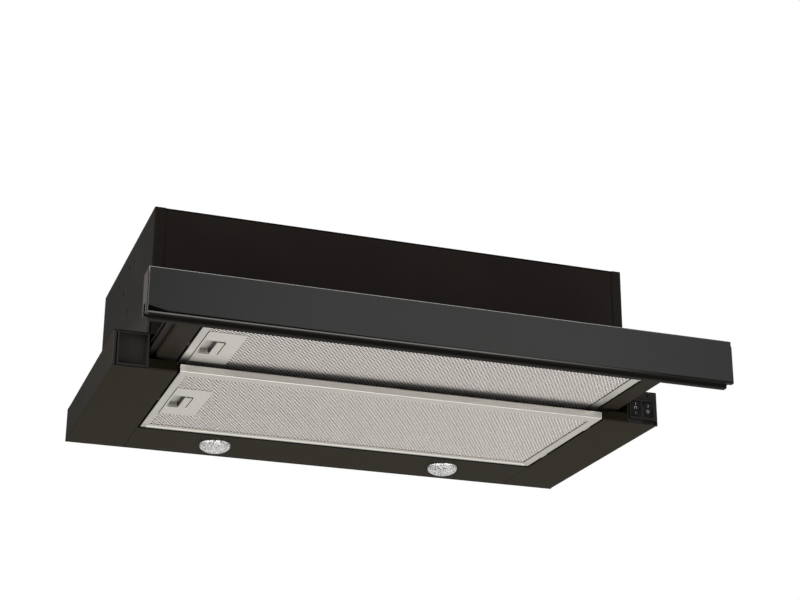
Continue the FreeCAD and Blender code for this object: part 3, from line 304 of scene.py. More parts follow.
@dataclass(frozen=True)
class Shading:
    """Painted shade and painted highlight on a finish: on some faces, in hollows and towards some ends of a
    piece.

    Attributes:
        left: The painted shade on faces that look to the left.
        front: The painted shade on faces that look to the front.
        slant: The painted highlight on a rear bead's faces between front and underside.
        behind: The painted shade on a rear bead's faces between rear and underside.
        bead: Where the bead starts, along y.
        nose: The painted shade on a front roll's faces between front and underside.
        tip: Where the front roll ends, along y.
        recess: How much painted shade falls deep in a hollow.
        reach: How far a hollow's walls count.
        blur: How softly the bead and the roll begin.
        bands: Changes along the axes.
    """

    left: float = 1.0
    front: float = 1.0
    slant: float = 1.0
    behind: float = 1.0
    bead: float = 0.0
    nose: float = 1.0
    tip: float = 0.0
    recess: float = 0.0
    reach: float = 7 * MM
    blur: float = 0.5 * MM
    bands: tuple[Band, ...] = ()

    def apply(self, wiring: Wiring, colour: Socket) -> Socket:
        """Scales a colour by all the tones that are set.

        Args:
            wiring: The material's wiring.
            colour: The colour's socket.

        Returns:
            The scaled colour's socket.
        """
        facing, place, tones = wiring.facing(), wiring.place(), []
        # Painted shade on faces that look to the left or to the front.
        if self.left != 1.0:
            tones.append(wiring.ramp(facing["X"], -0.5, -0.9, 1.0, self.left))
        if self.front != 1.0:
            tones.append(wiring.ramp(facing["Y"], -0.93, -0.99, 1.0, self.front))
        # Painted highlight or painted shade on a rear bead and on a front roll.
        for sign, tone, start, end in ((-1, self.slant, self.bead - self.blur, self.bead),
                                       (1, self.behind, self.bead - self.blur, self.bead),
                                       (-1, self.nose, self.tip + self.blur, self.tip)):
            if tone != 1.0:
                lean = wiring.ramp(facing["Y"], sign * 0.15, sign * 0.35)
                below = wiring.ramp(facing["Z"], -0.25, -0.45)
                there = wiring.ramp(place["Y"], start, end)
                share = wiring.times(lean, below, there)
                tones.append(wiring.ramp(share, 0.0, 1.0, 1.0, tone))
        # Painted shade deep in hollows, from ambient occlusion.
        if self.recess:
            openness = wiring.add("ShaderNodeAmbientOcclusion", {"Distance": self.reach}, samples=8).outputs
            tones.append(wiring.ramp(openness["AO"], 0.25, 0.9, 1.0 - self.recess, 1.0))
        tones += [wiring.ramp(place[band.axis], band.start, band.end, 1.0, band.tone) for band in self.bands]
        values = {0: colour, "Scale": wiring.times(*tones)}
        return wiring.add("ShaderNodeVectorMath", values, operation="SCALE").outputs["Vector"]


def plain_material(name: str) -> tuple[bpy.types.Material, Wiring, Node]:
    """Makes a material that holds only a Principled shader and its output.

    Args:
        name: The material's name.

    Returns:
        The material, its wiring and its shader.
    """
    made = bpy.data.materials.new(name)
    made.use_nodes = True
    made.node_tree.nodes.clear()
    wiring = Wiring(made.node_tree)
    shader = wiring.add("ShaderNodeBsdfPrincipled")
    wiring.add("ShaderNodeOutputMaterial", {"Surface": shader.outputs[0]})
    return made, wiring, shader


@dataclass(frozen=True)
class Finish:
    """One finish, which becomes one material.

    Attributes:
        name: The material's name.
        colour: Its main colour.
        roughness: Its middle roughness.
        slot: The record's material slot, which this script doesn't use.
        shading: Its painted shade and painted highlight from place to place, if it has any.
    """

    name: str
    colour: Colour
    roughness: float
    slot: str
    shading: Shading | None = None

    def toned(self, wiring: Wiring, colour: Socket) -> Socket:
        """Applies the finish's shading to a colour, if it has one."""
        return colour if self.shading is None else self.shading.apply(wiring, colour)

    def material(self) -> bpy.types.Material:
        """Gives the material, and builds it the first time.

        Returns:
            The material.
        """
        made = bpy.data.materials.get(self.name)
        if made is None:
            made, wiring, shader = plain_material(self.name)
            self.wire(wiring, shader)
            LOG.info("finish %s", self.name)
        return made

    def wire(self, wiring: Wiring, shader: Node) -> None:
        """Feeds the shader; each kind of finish has its own way.

        Args:
            wiring: The material's wiring.
            shader: Its Principled node.
        """
        raise NotImplementedError(self.name)


@dataclass(frozen=True)
class Enamel(Finish):
    """Stoved satin enamel on steel: orange peel, dust film, lighter edges; outer sides duller, with painted
    light.
    """

    peel: float = 0.25
    specular: float = 0.04
    worn: Colour = (0.10, 0.095, 0.09)
    film: float = 0.03
    painted_side_light: Colour | None = None
    flank_place: float = 290 * MM
    painted_side_falloff: Band = Band("Y", -275 * MM, -110 * MM, 0.6)

    def wire(self, wiring: Wiring, shader: Node) -> None:
        """Feeds the shader from peel, edges and film."""
        edges = wiring.effect(Effect.EDGES, radius=0.45 * MM, patchiness=70.0)
        grain = wiring.effect(Effect.GRAIN, scale=650.0, drift=9.0)
        film = wiring.effect(Effect.FILM, amount=self.film, scale=22.0)["Mask"]
        ground = wiring.blend(wiring.ramp(grain["Tone"], 0.35, 0.65), scaled(self.colour, 0.82), self.colour)
        dusty = wiring.blend(film, ground, (0.16, 0.155, 0.145))
        worn = wiring.blend(wiring.times(edges["Mask"], 0.35), dusty, self.worn)
        drift = wiring.ramp(grain["Tone"], 0.3, 0.7, self.roughness - 0.03, self.roughness + 0.04)
        rough = wiring.math("ADD", drift, wiring.times(film, 0.3))
        colour, specular = self.toned(wiring, worn), self.specular
        # Painted light on the outer sides.
        if self.painted_side_light is not None:
            colour, specular = self.sides(wiring, colour)
        wiring.feed(shader, Base_Color=colour, Roughness=rough, Specular_IOR_Level=specular,
                    Normal=wiring.bump(grain["Height"], self.peel, 0.05 * MM, Normal=edges["Normal"]))

    def sides(self, wiring: Wiring, colour: Socket) -> tuple[Socket, Socket]:
        """Gives the outer sides a painted-light colour that falls off along one axis, and less gloss.

        Args:
            wiring: The material's wiring.
            colour: The colour elsewhere.

        Returns:
            The sockets of the colour and the gloss.
        """
        place, fade = wiring.place(), self.painted_side_falloff
        distance = wiring.math("ABSOLUTE", place["X"], 0.0)
        outer = wiring.ramp(distance, self.flank_place, self.flank_place + 5 * MM)
        sideways = wiring.ramp(wiring.math("ABSOLUTE", wiring.facing()["X"], 0.0), 0.6, 0.9)
        share = wiring.times(outer, sideways)
        # The painted side light falls off along one axis.
        painted_light_falloff = wiring.ramp(place[fade.axis], fade.start, fade.end)
        side = wiring.blend(painted_light_falloff, self.painted_side_light, scaled(self.painted_side_light, fade.tone))
        return wiring.blend(share, colour, side), wiring.ramp(share, 0.0, 1.0, self.specular, 0.01)


@dataclass(frozen=True)
class Moulding(Finish):
    """Injection moulded plastic with a spark-eroded texture."""

    texture: float = 0.35
    pitch: float = 1400.0
    specular: float = 0.5

    def wire(self, wiring: Wiring, shader: Node) -> None:
        """Feeds the shader from the moulded texture and its rubbed edges."""
        edges = wiring.effect(Effect.EDGES, radius=0.4 * MM, patchiness=120.0)
        grain = wiring.effect(Effect.GRAIN, scale=self.pitch, drift=14.0)
        film = wiring.effect(Effect.FILM, amount=0.04, scale=40.0)["Mask"]
        ground = wiring.blend(wiring.ramp(grain["Height"], 0.35, 0.65), self.colour,
                              scaled(self.colour, 1.25, 0.004))
        dusty = wiring.blend(film, ground, scaled(self.colour, 0.7, 0.10))
        rubbed = wiring.blend(wiring.times(edges["Mask"], 0.3), dusty, scaled(self.colour, 0.6, 0.07))
        rough = wiring.ramp(grain["Tone"], 0.3, 0.7, self.roughness - 0.05, self.roughness + 0.05)
        wiring.feed(shader, Base_Color=self.toned(wiring, rubbed), Specular_IOR_Level=self.specular,
                    Roughness=rough,
                    Normal=wiring.bump(grain["Height"], self.texture, 0.04 * MM, Normal=edges["Normal"]))


@dataclass(frozen=True)
class RolledMetal(Finish):
    """Bare or plated sheet metal with rolling streaks along one axis.

    A glow is painted light: it stands for the studio light that the glass in front of a mirror keeps out.
    """

    stretch: Point = (8.0, 900.0, 900.0)
    metallic: float = 1.0
    streaks: float = 1.0
    stain: float = 0.12
    rounded: bool = True
    specular: float = 0.5
    glow: float = 0.0

    def wire(self, wiring: Wiring, shader: Node) -> None:
        """Feeds the shader from streaks, stains and polished edges."""
        streaks = wiring.effect(Effect.STREAKS, stretch=self.stretch, strength=self.streaks)
        film = wiring.effect(Effect.FILM, amount=self.stain, scale=30.0)["Mask"]
        ground = wiring.blend(streaks["Streak"], scaled(self.colour, 0.86), self.colour)
        metal, relief = wiring.blend(film, ground, scaled(self.colour, 0.8)), {}
        if self.rounded:
            edges = wiring.effect(Effect.EDGES, radius=0.3 * MM, patchiness=160.0)
            relief = {"Normal": edges["Normal"]}
            metal = wiring.blend(wiring.times(edges["Mask"], 0.5), metal, scaled(self.colour, 1.12))
        rough = wiring.ramp(streaks["Streak"], 0.2, 0.8, self.roughness - 0.05, self.roughness + 0.07)
        wiring.feed(shader, Base_Color=self.toned(wiring, metal), Roughness=rough, Metallic=self.metallic,
                    Specular_IOR_Level=self.specular, Emission_Color=WHITE, Emission_Strength=self.glow,
                    Normal=wiring.bump(streaks["Height"], 0.15, 0.02 * MM, **relief))


@dataclass(frozen=True)
class CoatedGlass(Finish):
    """Dark glass, painted behind, with painted reflection: darker towards its left end, a little at its
    right, dark just above its lower edge.
    """

    lower_edge: float = -41.2 * MM
    half_width: float = 300 * MM

    def wire(self, wiring: Wiring, shader: Node) -> None:
        """Feeds the shader from the drift of the tint, the painted reflection and the wiping marks."""
        grain = wiring.effect(Effect.GRAIN, scale=260.0, drift=5.0)
        wiped = wiring.effect(Effect.STREAKS, stretch=(6.0, 40.0, 90.0), strength=1.4)
        place, half = wiring.place(), self.half_width
        # Painted reflection: the face darker towards both ends, and a dark reflection just above its lower
        # edge.
        across = wiring.ramp(place["X"], -half, -0.4 * half, 0.58, 1.0)
        painted_light_falloff = wiring.ramp(place["X"], 0.5 * half, half, 1.0, 0.74)
        wedge = wiring.ramp(place["X"], -half, -0.935 * half, 4.2 * MM, 0.0)
        band = wiring.ramp(place["X"], -0.95 * half, 0.2 * half, 2.2 * MM, 0.6 * MM)
        rise = wiring.math("SUBTRACT", place["Z"], wiring.math("ADD", wedge, band))
        painted_edge_shade = wiring.ramp(rise, self.lower_edge + 0.2 * MM, self.lower_edge + 1.3 * MM, 0.02, 1.0)
        depth = wiring.times(across, painted_light_falloff, painted_edge_shade)
        tint = wiring.blend(wiring.ramp(grain["Tone"], 0.3, 0.7), scaled(self.colour, 0.92), self.colour)
        wiring.feed(shader, Base_Color=wiring.blend(depth, (0.001, 0.001, 0.001), tint), IOR=1.52,
                    Roughness=wiring.ramp(wiped["Streak"], 0.45, 0.9, self.roughness, self.roughness + 0.07),
                    Specular_IOR_Level=wiring.ramp(painted_edge_shade, 0.0, 1.0, 0.01, 0.22))


@dataclass(frozen=True)
class GroundEdge(Finish):
    """Ground and polished edge of the glass: faint grinding lines, with painted shade towards its right end
    and low down.
    """

    half_width: float = 300 * MM

    def wire(self, wiring: Wiring, shader: Node) -> None:
        """Feeds the shader from the grinding lines and the painted shade."""
        lines = wiring.effect(Effect.STREAKS, stretch=(30.0, 1500.0, 1500.0), strength=1.2)
        place = wiring.place()
        depth = wiring.ramp(place["X"], 0.1 * self.half_width, 0.75 * self.half_width)
        low = wiring.ramp(place["Z"], -15 * MM, 0.0, 1.0, 0.35)
        tint = wiring.blend(lines["Streak"], scaled(self.colour, 0.8), self.colour)
        edge = wiring.blend(wiring.times(depth, low), tint, (0.004, 0.004, 0.004))
        wiring.feed(shader, Base_Color=self.toned(wiring, edge), Roughness=self.roughness, IOR=1.52,
                    Normal=wiring.bump(lines["Height"], 0.1, 0.02 * MM), Specular_IOR_Level=0.06)


@dataclass(frozen=True)
class ClearGlass(Finish):
    """Clear pressed glass, which may scatter part of the light."""

    waviness: float = 0.2
    clear: float = 1.0
    refraction_shade_share: float = 0.0

    def wire(self, wiring: Wiring, shader: Node) -> None:
        """Feeds the shader from the slight waves, and from dim specks: painted shade for the pressed dimples'
        refraction.
        """
        grain = wiring.effect(Effect.GRAIN, scale=180.0, drift=700.0)
        painted_refraction_shade = wiring.ramp(grain["Tone"], 0.42, 0.50, self.refraction_shade_share, 0.0)
        wiring.feed(shader, Base_Color=wiring.blend(painted_refraction_shade, self.colour, (0.05, 0.05, 0.05)), IOR=1.5,
                    Roughness=self.roughness, Transmission_Weight=self.clear,
                    Normal=wiring.bump(grain["Height"], self.waviness, 0.1 * MM))


@dataclass(frozen=True)
class Ink(Finish):
    """Pad-printed marking ink, thin at its edges."""

    def wire(self, wiring: Wiring, shader: Node) -> None:
        """Feeds the shader from the ink's uneven cover."""
        grain = wiring.effect(Effect.GRAIN, scale=2600.0, drift=200.0)
        cover = wiring.blend(wiring.ramp(grain["Height"], 0.3, 0.6), scaled(self.colour, 0.7), self.colour)
        wiring.feed(shader, Base_Color=cover, Roughness=self.roughness)


@dataclass(frozen=True)
class ExpandedFoil(Finish):
    """Stacked expanded foil in painted shade: a near-black diamond net drawn on a sheet, darker still in its
    holes.
    """

    pitch: tuple[float, float] = (3.90 * MM, 6.57 * MM)

    def wire(self, wiring: Wiring, shader: Node) -> None:
        """Feeds the shader from two sets of slanting lines."""
        place, lines = wiring.place(), []
        across = wiring.math("DIVIDE", place["X"], self.pitch[0])
        along = wiring.math("DIVIDE", place["Y"], self.pitch[1])
        for kind in ("ADD", "SUBTRACT"):
            phase = wiring.math("PINGPONG", wiring.math(kind, across, along), 0.5)
            lines.append(wiring.ramp(phase, 0.10, 0.20, 1.0, 0.0))
        strands = wiring.math("MAXIMUM", *lines)
        streaks = wiring.effect(Effect.STREAKS, stretch=(400.0, 400.0, 400.0), strength=1.0)
        metal = wiring.blend(streaks["Streak"], scaled(self.colour, 0.8), self.colour)
        # Painted shade: the holes darker than the strands.
        wiring.feed(shader, Base_Color=wiring.blend(strands, scaled(self.colour, 0.25), metal), Metallic=0.3,
                    Roughness=self.roughness, Specular_IOR_Level=0.05,
                    Normal=wiring.bump(strands, 0.6, 0.4 * MM))


# Painted shadow that the rear filter's step casts on the front filter's rear end.
PAINTED_STEP_SHADOW = Band("Y", -291 * MM, -282 * MM, 0.3)
# Painted shade on the net's right end, where it meets the frame.
NET_END_SHADE = Band("X", 225.5 * MM, 226.5 * MM, 0.25)
ALL_ROUND = (500.0, 500.0, 500.0)
ALONG_Y = (500.0, 8.0, 500.0)
# Painted shade on front faces and in hollows, and painted light on the outer sides.
ENAMEL = Enamel("satin_black_enamel", srgb(37, 32, 21), 0.5, "cabinet_paint", painted_side_light=srgb(43, 40, 35),
                shading=Shading(front=0.4, recess=0.25, reach=30 * MM))
# Painted shadow on the lamp strip's front faces and along its front edge, under the rear filter's bead.
STRIP_ENAMEL = replace(ENAMEL, name="lamp_strip_enamel", painted_side_light=None, shading=Shading(
    front=0.05, bands=(Band("Y", -79.5 * MM, -81.0 * MM, 0.08),)))
# A lighter copy of the same enamel for the arms, as painted light, without the painted shade in hollows.
ARM_ENAMEL = replace(ENAMEL, name="arm_enamel", colour=srgb(43, 39, 33), painted_side_light=None, shading=None)
# A darker copy of the enamel on the upper box as painted shade, with painted light on its sides that falls
# off with height.
UPPER_ENAMEL = Enamel("upper_body_enamel", srgb(30, 26, 24), 0.5, "cabinet_paint", painted_side_light=srgb(56, 52, 48),
                      flank_place=200 * MM, painted_side_falloff=Band("Z", 6 * MM, 50 * MM, 0.4))
PROFILE_BLACK = RolledMetal("black_anodised_profile", srgb(20, 18, 15), 0.45, "black_profile",
                            stretch=(5.0, 700.0, 700.0), metallic=0.0, streaks=0.8, specular=0.06)
PLASTIC_BLACK = Moulding("black_moulding", srgb(26, 23, 22), 0.5, "black_plastic", specular=0.1)
# Painted shade in the switch housing's hollows.
CORNER_BLACK = Moulding("corner_moulding", srgb(24, 22, 21), 0.5, "black_plastic", specular=0.08,
                        shading=Shading(recess=0.9, reach=5 * MM))
# Painted shade in the blank cap's hollows, and painted shadow lines along its top and bottom.
BLANK_BLACK = replace(CORNER_BLACK, name="blank_moulding", colour=srgb(35, 32, 31), shading=Shading(
    recess=0.2, reach=4 * MM,
    bands=(Band("Z", -2.8 * MM, -2.2 * MM, 0.15), Band("Z", -37.2 * MM, -37.8 * MM, 0.3))))
# Painted shade on the end caps' front faces and in their hollows.
CAP_GREY = Moulding("end_cap_moulding", srgb(45, 41, 38), 0.45, "black_plastic", specular=0.25,
                    shading=Shading(front=0.2, recess=0.8, reach=4 * MM))
ROCKER_BLACK = Moulding("rocker_moulding", srgb(10, 9, 10), 0.35, "rocker_plastic", texture=0.15,
                        specular=0.08)
ZINC = RolledMetal("zinc_plate", srgb(196, 196, 192), 0.3, "zinc_steel", stretch=ALONG_Y)
SLIDE_BLACK = RolledMetal("black_coated_slide", srgb(50, 45, 43), 0.5, "zinc_steel", stretch=ALONG_Y,
                          metallic=0.0, specular=0.04, rounded=False)
SCREW_BLACK = RolledMetal("blackened_screw", srgb(44, 41, 38), 0.25, "zinc_steel", stretch=ALL_ROUND)
# Painted shade on the rear frame's left and front faces, on the bead's rear side and on the front roll; a
# painted highlight on the bead's front; the rear bar a little darker.
ALUMINIUM = RolledMetal("rear_frame_aluminium", srgb(220, 217, 211), 0.40, "filter_aluminium",
                        stretch=(10.0, 10.0, 900.0), metallic=0.8, shading=Shading(
                            left=0.06, front=0.82, slant=1.5, behind=0.12, bead=-99 * MM, nose=0.62,
                            tip=-283 * MM, bands=(Band("Y", -100 * MM, -98 * MM, 0.85),)))
# Painted shade on left and front faces, and the painted step shadow.
FRONT_ALUMINIUM = replace(ALUMINIUM, name="front_frame_aluminium",
                          shading=Shading(left=0.06, front=0.82, bands=(PAINTED_STEP_SHADOW,)))
NET_ALUMINIUM = RolledMetal("rear_net_aluminium", (1.0, 0.945, 0.915), 0.42, "filter_aluminium",
                            stretch=(300.0, 300.0, 300.0), metallic=0.35, rounded=False, stain=0.0,
                            streaks=0.6, shading=Shading(bands=(NET_END_SHADE,)))
# Painted shade at the net's right end, and the painted step shadow.
FRONT_NET = replace(NET_ALUMINIUM, name="front_net_aluminium", shading=Shading(bands=(NET_END_SHADE, PAINTED_STEP_SHADOW)))
# The foil pack's near-black colour is painted shade for the aluminium pack inside the filter.
FOIL_IN_SHADE = ExpandedFoil("filter_foil_painted_shade", srgb(16, 15, 14), 0.6, "filter_aluminium")
# Painted shade on the latch plate's left and front faces and in its pocket.
LATCH_GREY = Moulding("latch_plate_grey", srgb(177, 174, 169), 0.42, "latch_plate", texture=0.12, pitch=900.0,
                      shading=Shading(left=0.35, front=0.4, recess=0.5, reach=2 * MM))
# Painted shade on the slider's left and front faces, in its hollows and on its nose past the frame.
SLIDER_GREY = Moulding("latch_slider_grey", srgb(174, 171, 166), 0.4, "latch_slider", texture=0.15,
                       shading=Shading(left=0.05, front=0.55, recess=0.55, reach=9 * MM,
                                       bands=(Band("X", -229 * MM, -231 * MM, 0.05),)))
GLASS_FACE = CoatedGlass("dark_front_glass", srgb(49, 49, 49), 0.05, "front_glass")
# Painted shade on the edge's faces behind the front chamfer.
GLASS_EDGE = GroundEdge("polished_glass_edge", srgb(100, 99, 96), 0.2, "front_glass",
                        shading=Shading(bands=(Band("Y", -451.5 * MM, -451.1 * MM, 0.12),)))
# Painted shade: dim specks for the pressed dimples' refraction.
LENS_GLASS = ClearGlass("pressed_lens_glass", WHITE, 0.03, "lens_glass", waviness=0.9, clear=0.55,
                        refraction_shade_share=0.9)
LENS_INSIDE = ClearGlass("lens_inner_face", WHITE, 0.0, "lens_glass", waviness=0.0)
BULB_GLASS = ClearGlass("quartz_capsule", (0.98, 0.98, 0.96), 0.0, "bulb_glass", waviness=0.05)
# The reflector's glow is painted light, not a lit lamp.
MIRROR = RolledMetal("bright_reflector", srgb(252, 252, 252), 0.15, "reflector", metallic=0.85, streaks=0.3,
                     stretch=(200.0, 200.0, 200.0), stain=0.0, rounded=False, glow=0.6)
CERAMIC = Moulding("lamp_holder_ceramic", srgb(226, 222, 210), 0.5, "lamp_ceramic", texture=0.4, pitch=800.0)
FAN_GREY = Moulding("fan_moulding", srgb(62, 62, 62), 0.5, "fan_plastic", texture=0.2)
MOTOR_STEEL = RolledMetal("motor_can", srgb(190, 190, 188), 0.36, "motor_steel", stretch=(12.0, 500.0, 500.0))
RUBBER = Moulding("bush_rubber", srgb(26, 26, 26), 0.75, "rubber", texture=0.5)
CAPACITOR = Moulding("capacitor_sleeve", srgb(222, 222, 218), 0.4, "capacitor_white", texture=0.1)
INK = Ink("marking_ink", srgb(150, 150, 150), 0.5, "rocker_plastic")
FAINT_INK = replace(INK, name="worn_marking_ink", colour=srgb(78, 78, 78))
TUNGSTEN = RolledMetal("lamp_wire", srgb(28, 27, 26), 0.5, "bulb_glass", stretch=(600.0, 600.0, 600.0),
                       rounded=False)


def dress(finish: Finish, *names: str) -> None:
    """Gives CAD nodes a finish.

    Args:
        finish: The finish.
        *names: The nodes' names.
    """
    for name in names:
        mesh = frame["nodes"][name].data
        mesh.materials.clear()
        mesh.materials.append(finish.material())
        LOG.info("dressed %s in %s", name, finish.name)


def stand(name: str, data: bpy.types.ID) -> bpy.types.Object:
    """Puts data into the scene as an object.

    Args:
        name: The object's name.
        data: Its mesh, lamp or camera.

    Returns:
        The object.
    """
    made = bpy.data.objects.new(name, data)
    bpy.context.scene.collection.objects.link(made)
    return made


def looking(place: Point, target: Point) -> Matrix:
    """Gives the placement of a lamp or camera that looks from a place at a target."""
    turn = (Vector(target) - Vector(place)).to_track_quat("-Z", "Y").to_matrix().to_4x4()
    return Matrix.Translation(place) @ turn


# ---------------------------------------------------------------- mesh making
class Shape:
    """A mesh in the making, with the moves that the hood's finer pieces need."""

    def __init__(self) -> None:
        """Starts empty."""
        self.bm = bmesh.new()

    @staticmethod
    def faces_at(verts: Verts) -> list[bmesh.types.BMFace]:
        """Gives the faces that touch some vertices, each once."""
        return list({f for v in verts for f in v.link_faces})

    def block(self, low: Sequence[float], high: Sequence[float], turn: Matrix | None = None) -> Verts:
        """Adds a box.

        Args:
            low: Its lowest corner.
            high: Its highest corner.
            turn: A rotation about its own centre.

        Returns:
            Its vertices.
        """
        low, high = Vector(low), Vector(high)
        size = Matrix.Diagonal((*(high - low), 1.0))
        place = Matrix.Translation((low + high) / 2) @ (turn or Matrix()) @ size
        return bmesh.ops.create_cube(self.bm, size=1.0, matrix=place)["verts"]

    def lathe(self, profile: Iterable[tuple[float, float]], centre: Sequence[float],
              axis: Sequence[float] = (0, 0, 1), steps: int = 48) -> Verts:
        """Turns a profile about an axis.

        Args:
            profile: Points of (radius, distance along the axis).
            centre: A point on the axis.
            axis: The axis's direction.
            steps: Facets of a full turn.

        Returns:
            The new vertices.
        """
        before = set(self.bm.verts)
        along = Vector(axis).normalized()
        out = along.orthogonal().normalized()
        points = [self.bm.verts.new(Vector(centre) + out * radius + along * height)
                  for radius, height in profile]
        edges = [self.bm.edges.new(pair) for pair in zip(points, points[1:])]
        bmesh.ops.spin(self.bm, geom=points + edges, cent=centre, axis=along, angle=2 * math.pi, steps=steps,
                       use_merge=True)
        made = [v for v in self.bm.verts if v not in before]
        bmesh.ops.remove_doubles(self.bm, verts=made, dist=0.1 * TINY)
        made = [v for v in self.bm.verts if v not in before]
        bmesh.ops.recalc_face_normals(self.bm, faces=self.faces_at(made))
        return made

    def repeat(self, geometry: list, step: Vector, count: int) -> list:
        """Copies geometry along a step.

        Args:
            geometry: Vertices, edges and faces.
            step: The distance from one copy to the next.
            count: How many there are in the end.

        Returns:
            All the geometry, the first included.
        """
        made = list(geometry)
        for index in range(1, count):
            copy = bmesh.ops.duplicate(self.bm, geom=geometry)["geom"]
            verts = [v for v in copy if isinstance(v, bmesh.types.BMVert)]
            bmesh.ops.translate(self.bm, vec=step * index, verts=verts)
            made += copy
        return made

    def finish(self, name: str, body: str, finishes: Sequence[Finish], replaces: Sequence[str] = (),
               crease: float = 32.0) -> None:
        """Makes the mesh a piece of the hood.

        Args:
            name: The piece's name.
            body: The CAD body it rides on.
            finishes: Its finishes, in the order of its material numbers.
            replaces: The CAD nodes that it stands for.
            crease: Edges sharper than this, in degrees, stay sharp.
        """
        for face in self.bm.faces:
            face.smooth = True
        for edge in self.bm.edges:
            edge.smooth = edge.calc_face_angle(math.pi) < math.radians(crease)
        mesh = bpy.data.meshes.new(name)
        self.bm.to_mesh(mesh)
        self.bm.free()
        for finish in finishes:
            mesh.materials.append(finish.material())
        piece = stand(name, mesh)
        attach(piece, body)
        if replaces:
            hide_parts(*replaces)
        LOG.info("made %s with %d faces", name, len(mesh.polygons))


# ---------------------------------------------------------------- studio
@dataclass
class Viewpoint:
    """The camera, low on the hood's left, looking up at its front and underside."""

    place: Point = (-0.5685, -1.9104, -0.5918)
    target: Point = (0.0, -0.2880, 0.0684)
    roll: float = math.radians(0.294)
    focal_length: float = 78.06
    sensor_width: float = 36.0

    def build(self) -> None:
        """Makes the camera and gives it to the scene."""
        data = bpy.data.cameras.new("camera")
        data.lens = self.focal_length
        data.sensor_width = self.sensor_width
        camera = stand("camera", data)
        camera.matrix_world = looking(self.place, self.target) @ Matrix.Rotation(self.roll, 4, "Z")
        bpy.context.scene.camera = camera


@dataclass(frozen=True)
class SoftBox:
    """One square lamp of the studio."""

    name: str
    place: Point
    size: float
    power: float
    colour: Colour = WHITE


@dataclass
class Studio:
    """Pale floor, white surroundings and soft lamps."""

    floor_level: float = -2.2
    floor_size: float = 14.0
    ambient: float = 0.55
    aim: Point = (0.0, -0.2, 0.03)
    boxes: tuple[SoftBox, ...] = (
        SoftBox("left_softbox", (-2.6, -1.2, 0.2), 1.8, 45.0, WARM_WHITE),
        SoftBox("low_softbox", (0.4, -2.2, -1.7), 2.2, 55.0, WARM_WHITE),
        SoftBox("right_softbox", (2.6, -1.6, 0.6), 1.6, 22.0),
        SoftBox("top_softbox", (0.2, 0.3, 2.8), 2.4, 60.0),
    )

    def build(self) -> None:
        """Makes the surroundings, the floor and the lamps."""
        self.surroundings()
        self.floor()
        for box in self.boxes:
            data = bpy.data.lights.new(box.name, "AREA")
            data.shape = "SQUARE"
            data.size = box.size
            data.energy = box.power
            data.color = box.colour
            stand(box.name, data).matrix_world = looking(box.place, self.aim)

    def surroundings(self) -> None:
        """White to the camera and through glass, dimmer as light."""
        world = bpy.data.worlds.new("studio")
        bpy.context.scene.world = world
        world.use_nodes = True
        world.node_tree.nodes.clear()
        wiring = Wiring(world.node_tree)
        seen = wiring.add("ShaderNodeBackground", {"Color": WHITE, "Strength": 1.0})
        light = wiring.add("ShaderNodeBackground", {"Color": (1.0, 0.99, 0.98), "Strength": self.ambient})
        path = wiring.add("ShaderNodeLightPath").outputs
        ray = wiring.math("MAXIMUM", path["Is Camera Ray"], path["Is Transmission Ray"])
        mix = wiring.add("ShaderNodeMixShader", {0: ray, 1: light.outputs[0], 2: seen.outputs[0]})
        wiring.add("ShaderNodeOutputWorld", {"Surface": mix.outputs[0]})
        bpy.context.scene.view_settings.view_transform = "Standard"

    def floor(self) -> None:
        """A pale floor, unseen from below."""
        bm = bmesh.new()
        bmesh.ops.create_grid(bm, x_segments=1, y_segments=1, size=self.floor_size / 2,
                              matrix=Matrix.Translation((0, 0, self.floor_level)))
        mesh = bpy.data.meshes.new("floor")
        bm.to_mesh(mesh)
        bm.free()
        paint, wiring, shader = plain_material("floor_paint")
        tone = wiring.blend(wiring.noise(wiring.point(), 1.5), (0.80, 0.80, 0.79), (0.84, 0.84, 0.83))
        wiring.feed(shader, Base_Color=tone, Roughness=0.8)
        mesh.materials.append(paint)
        stand("floor", mesh)


# ---------------------------------------------------------------- sub-assemblies
@dataclass
class Cabinet:
    """The sheet-metal body: lower cheeks, lamp strip and upper box."""

    def build(self) -> None:
        """Dresses the sheet metal."""
        dress(ENAMEL, "left_cheek", "right_cheek")
        dress(STRIP_ENAMEL, "lamp_strip")
        dress(UPPER_ENAMEL, "left_side_plate", "right_side_plate", "front_cover", "top_plate", "rear_wall")
        dress(ZINC, "left_slide_bracket", "right_slide_bracket")


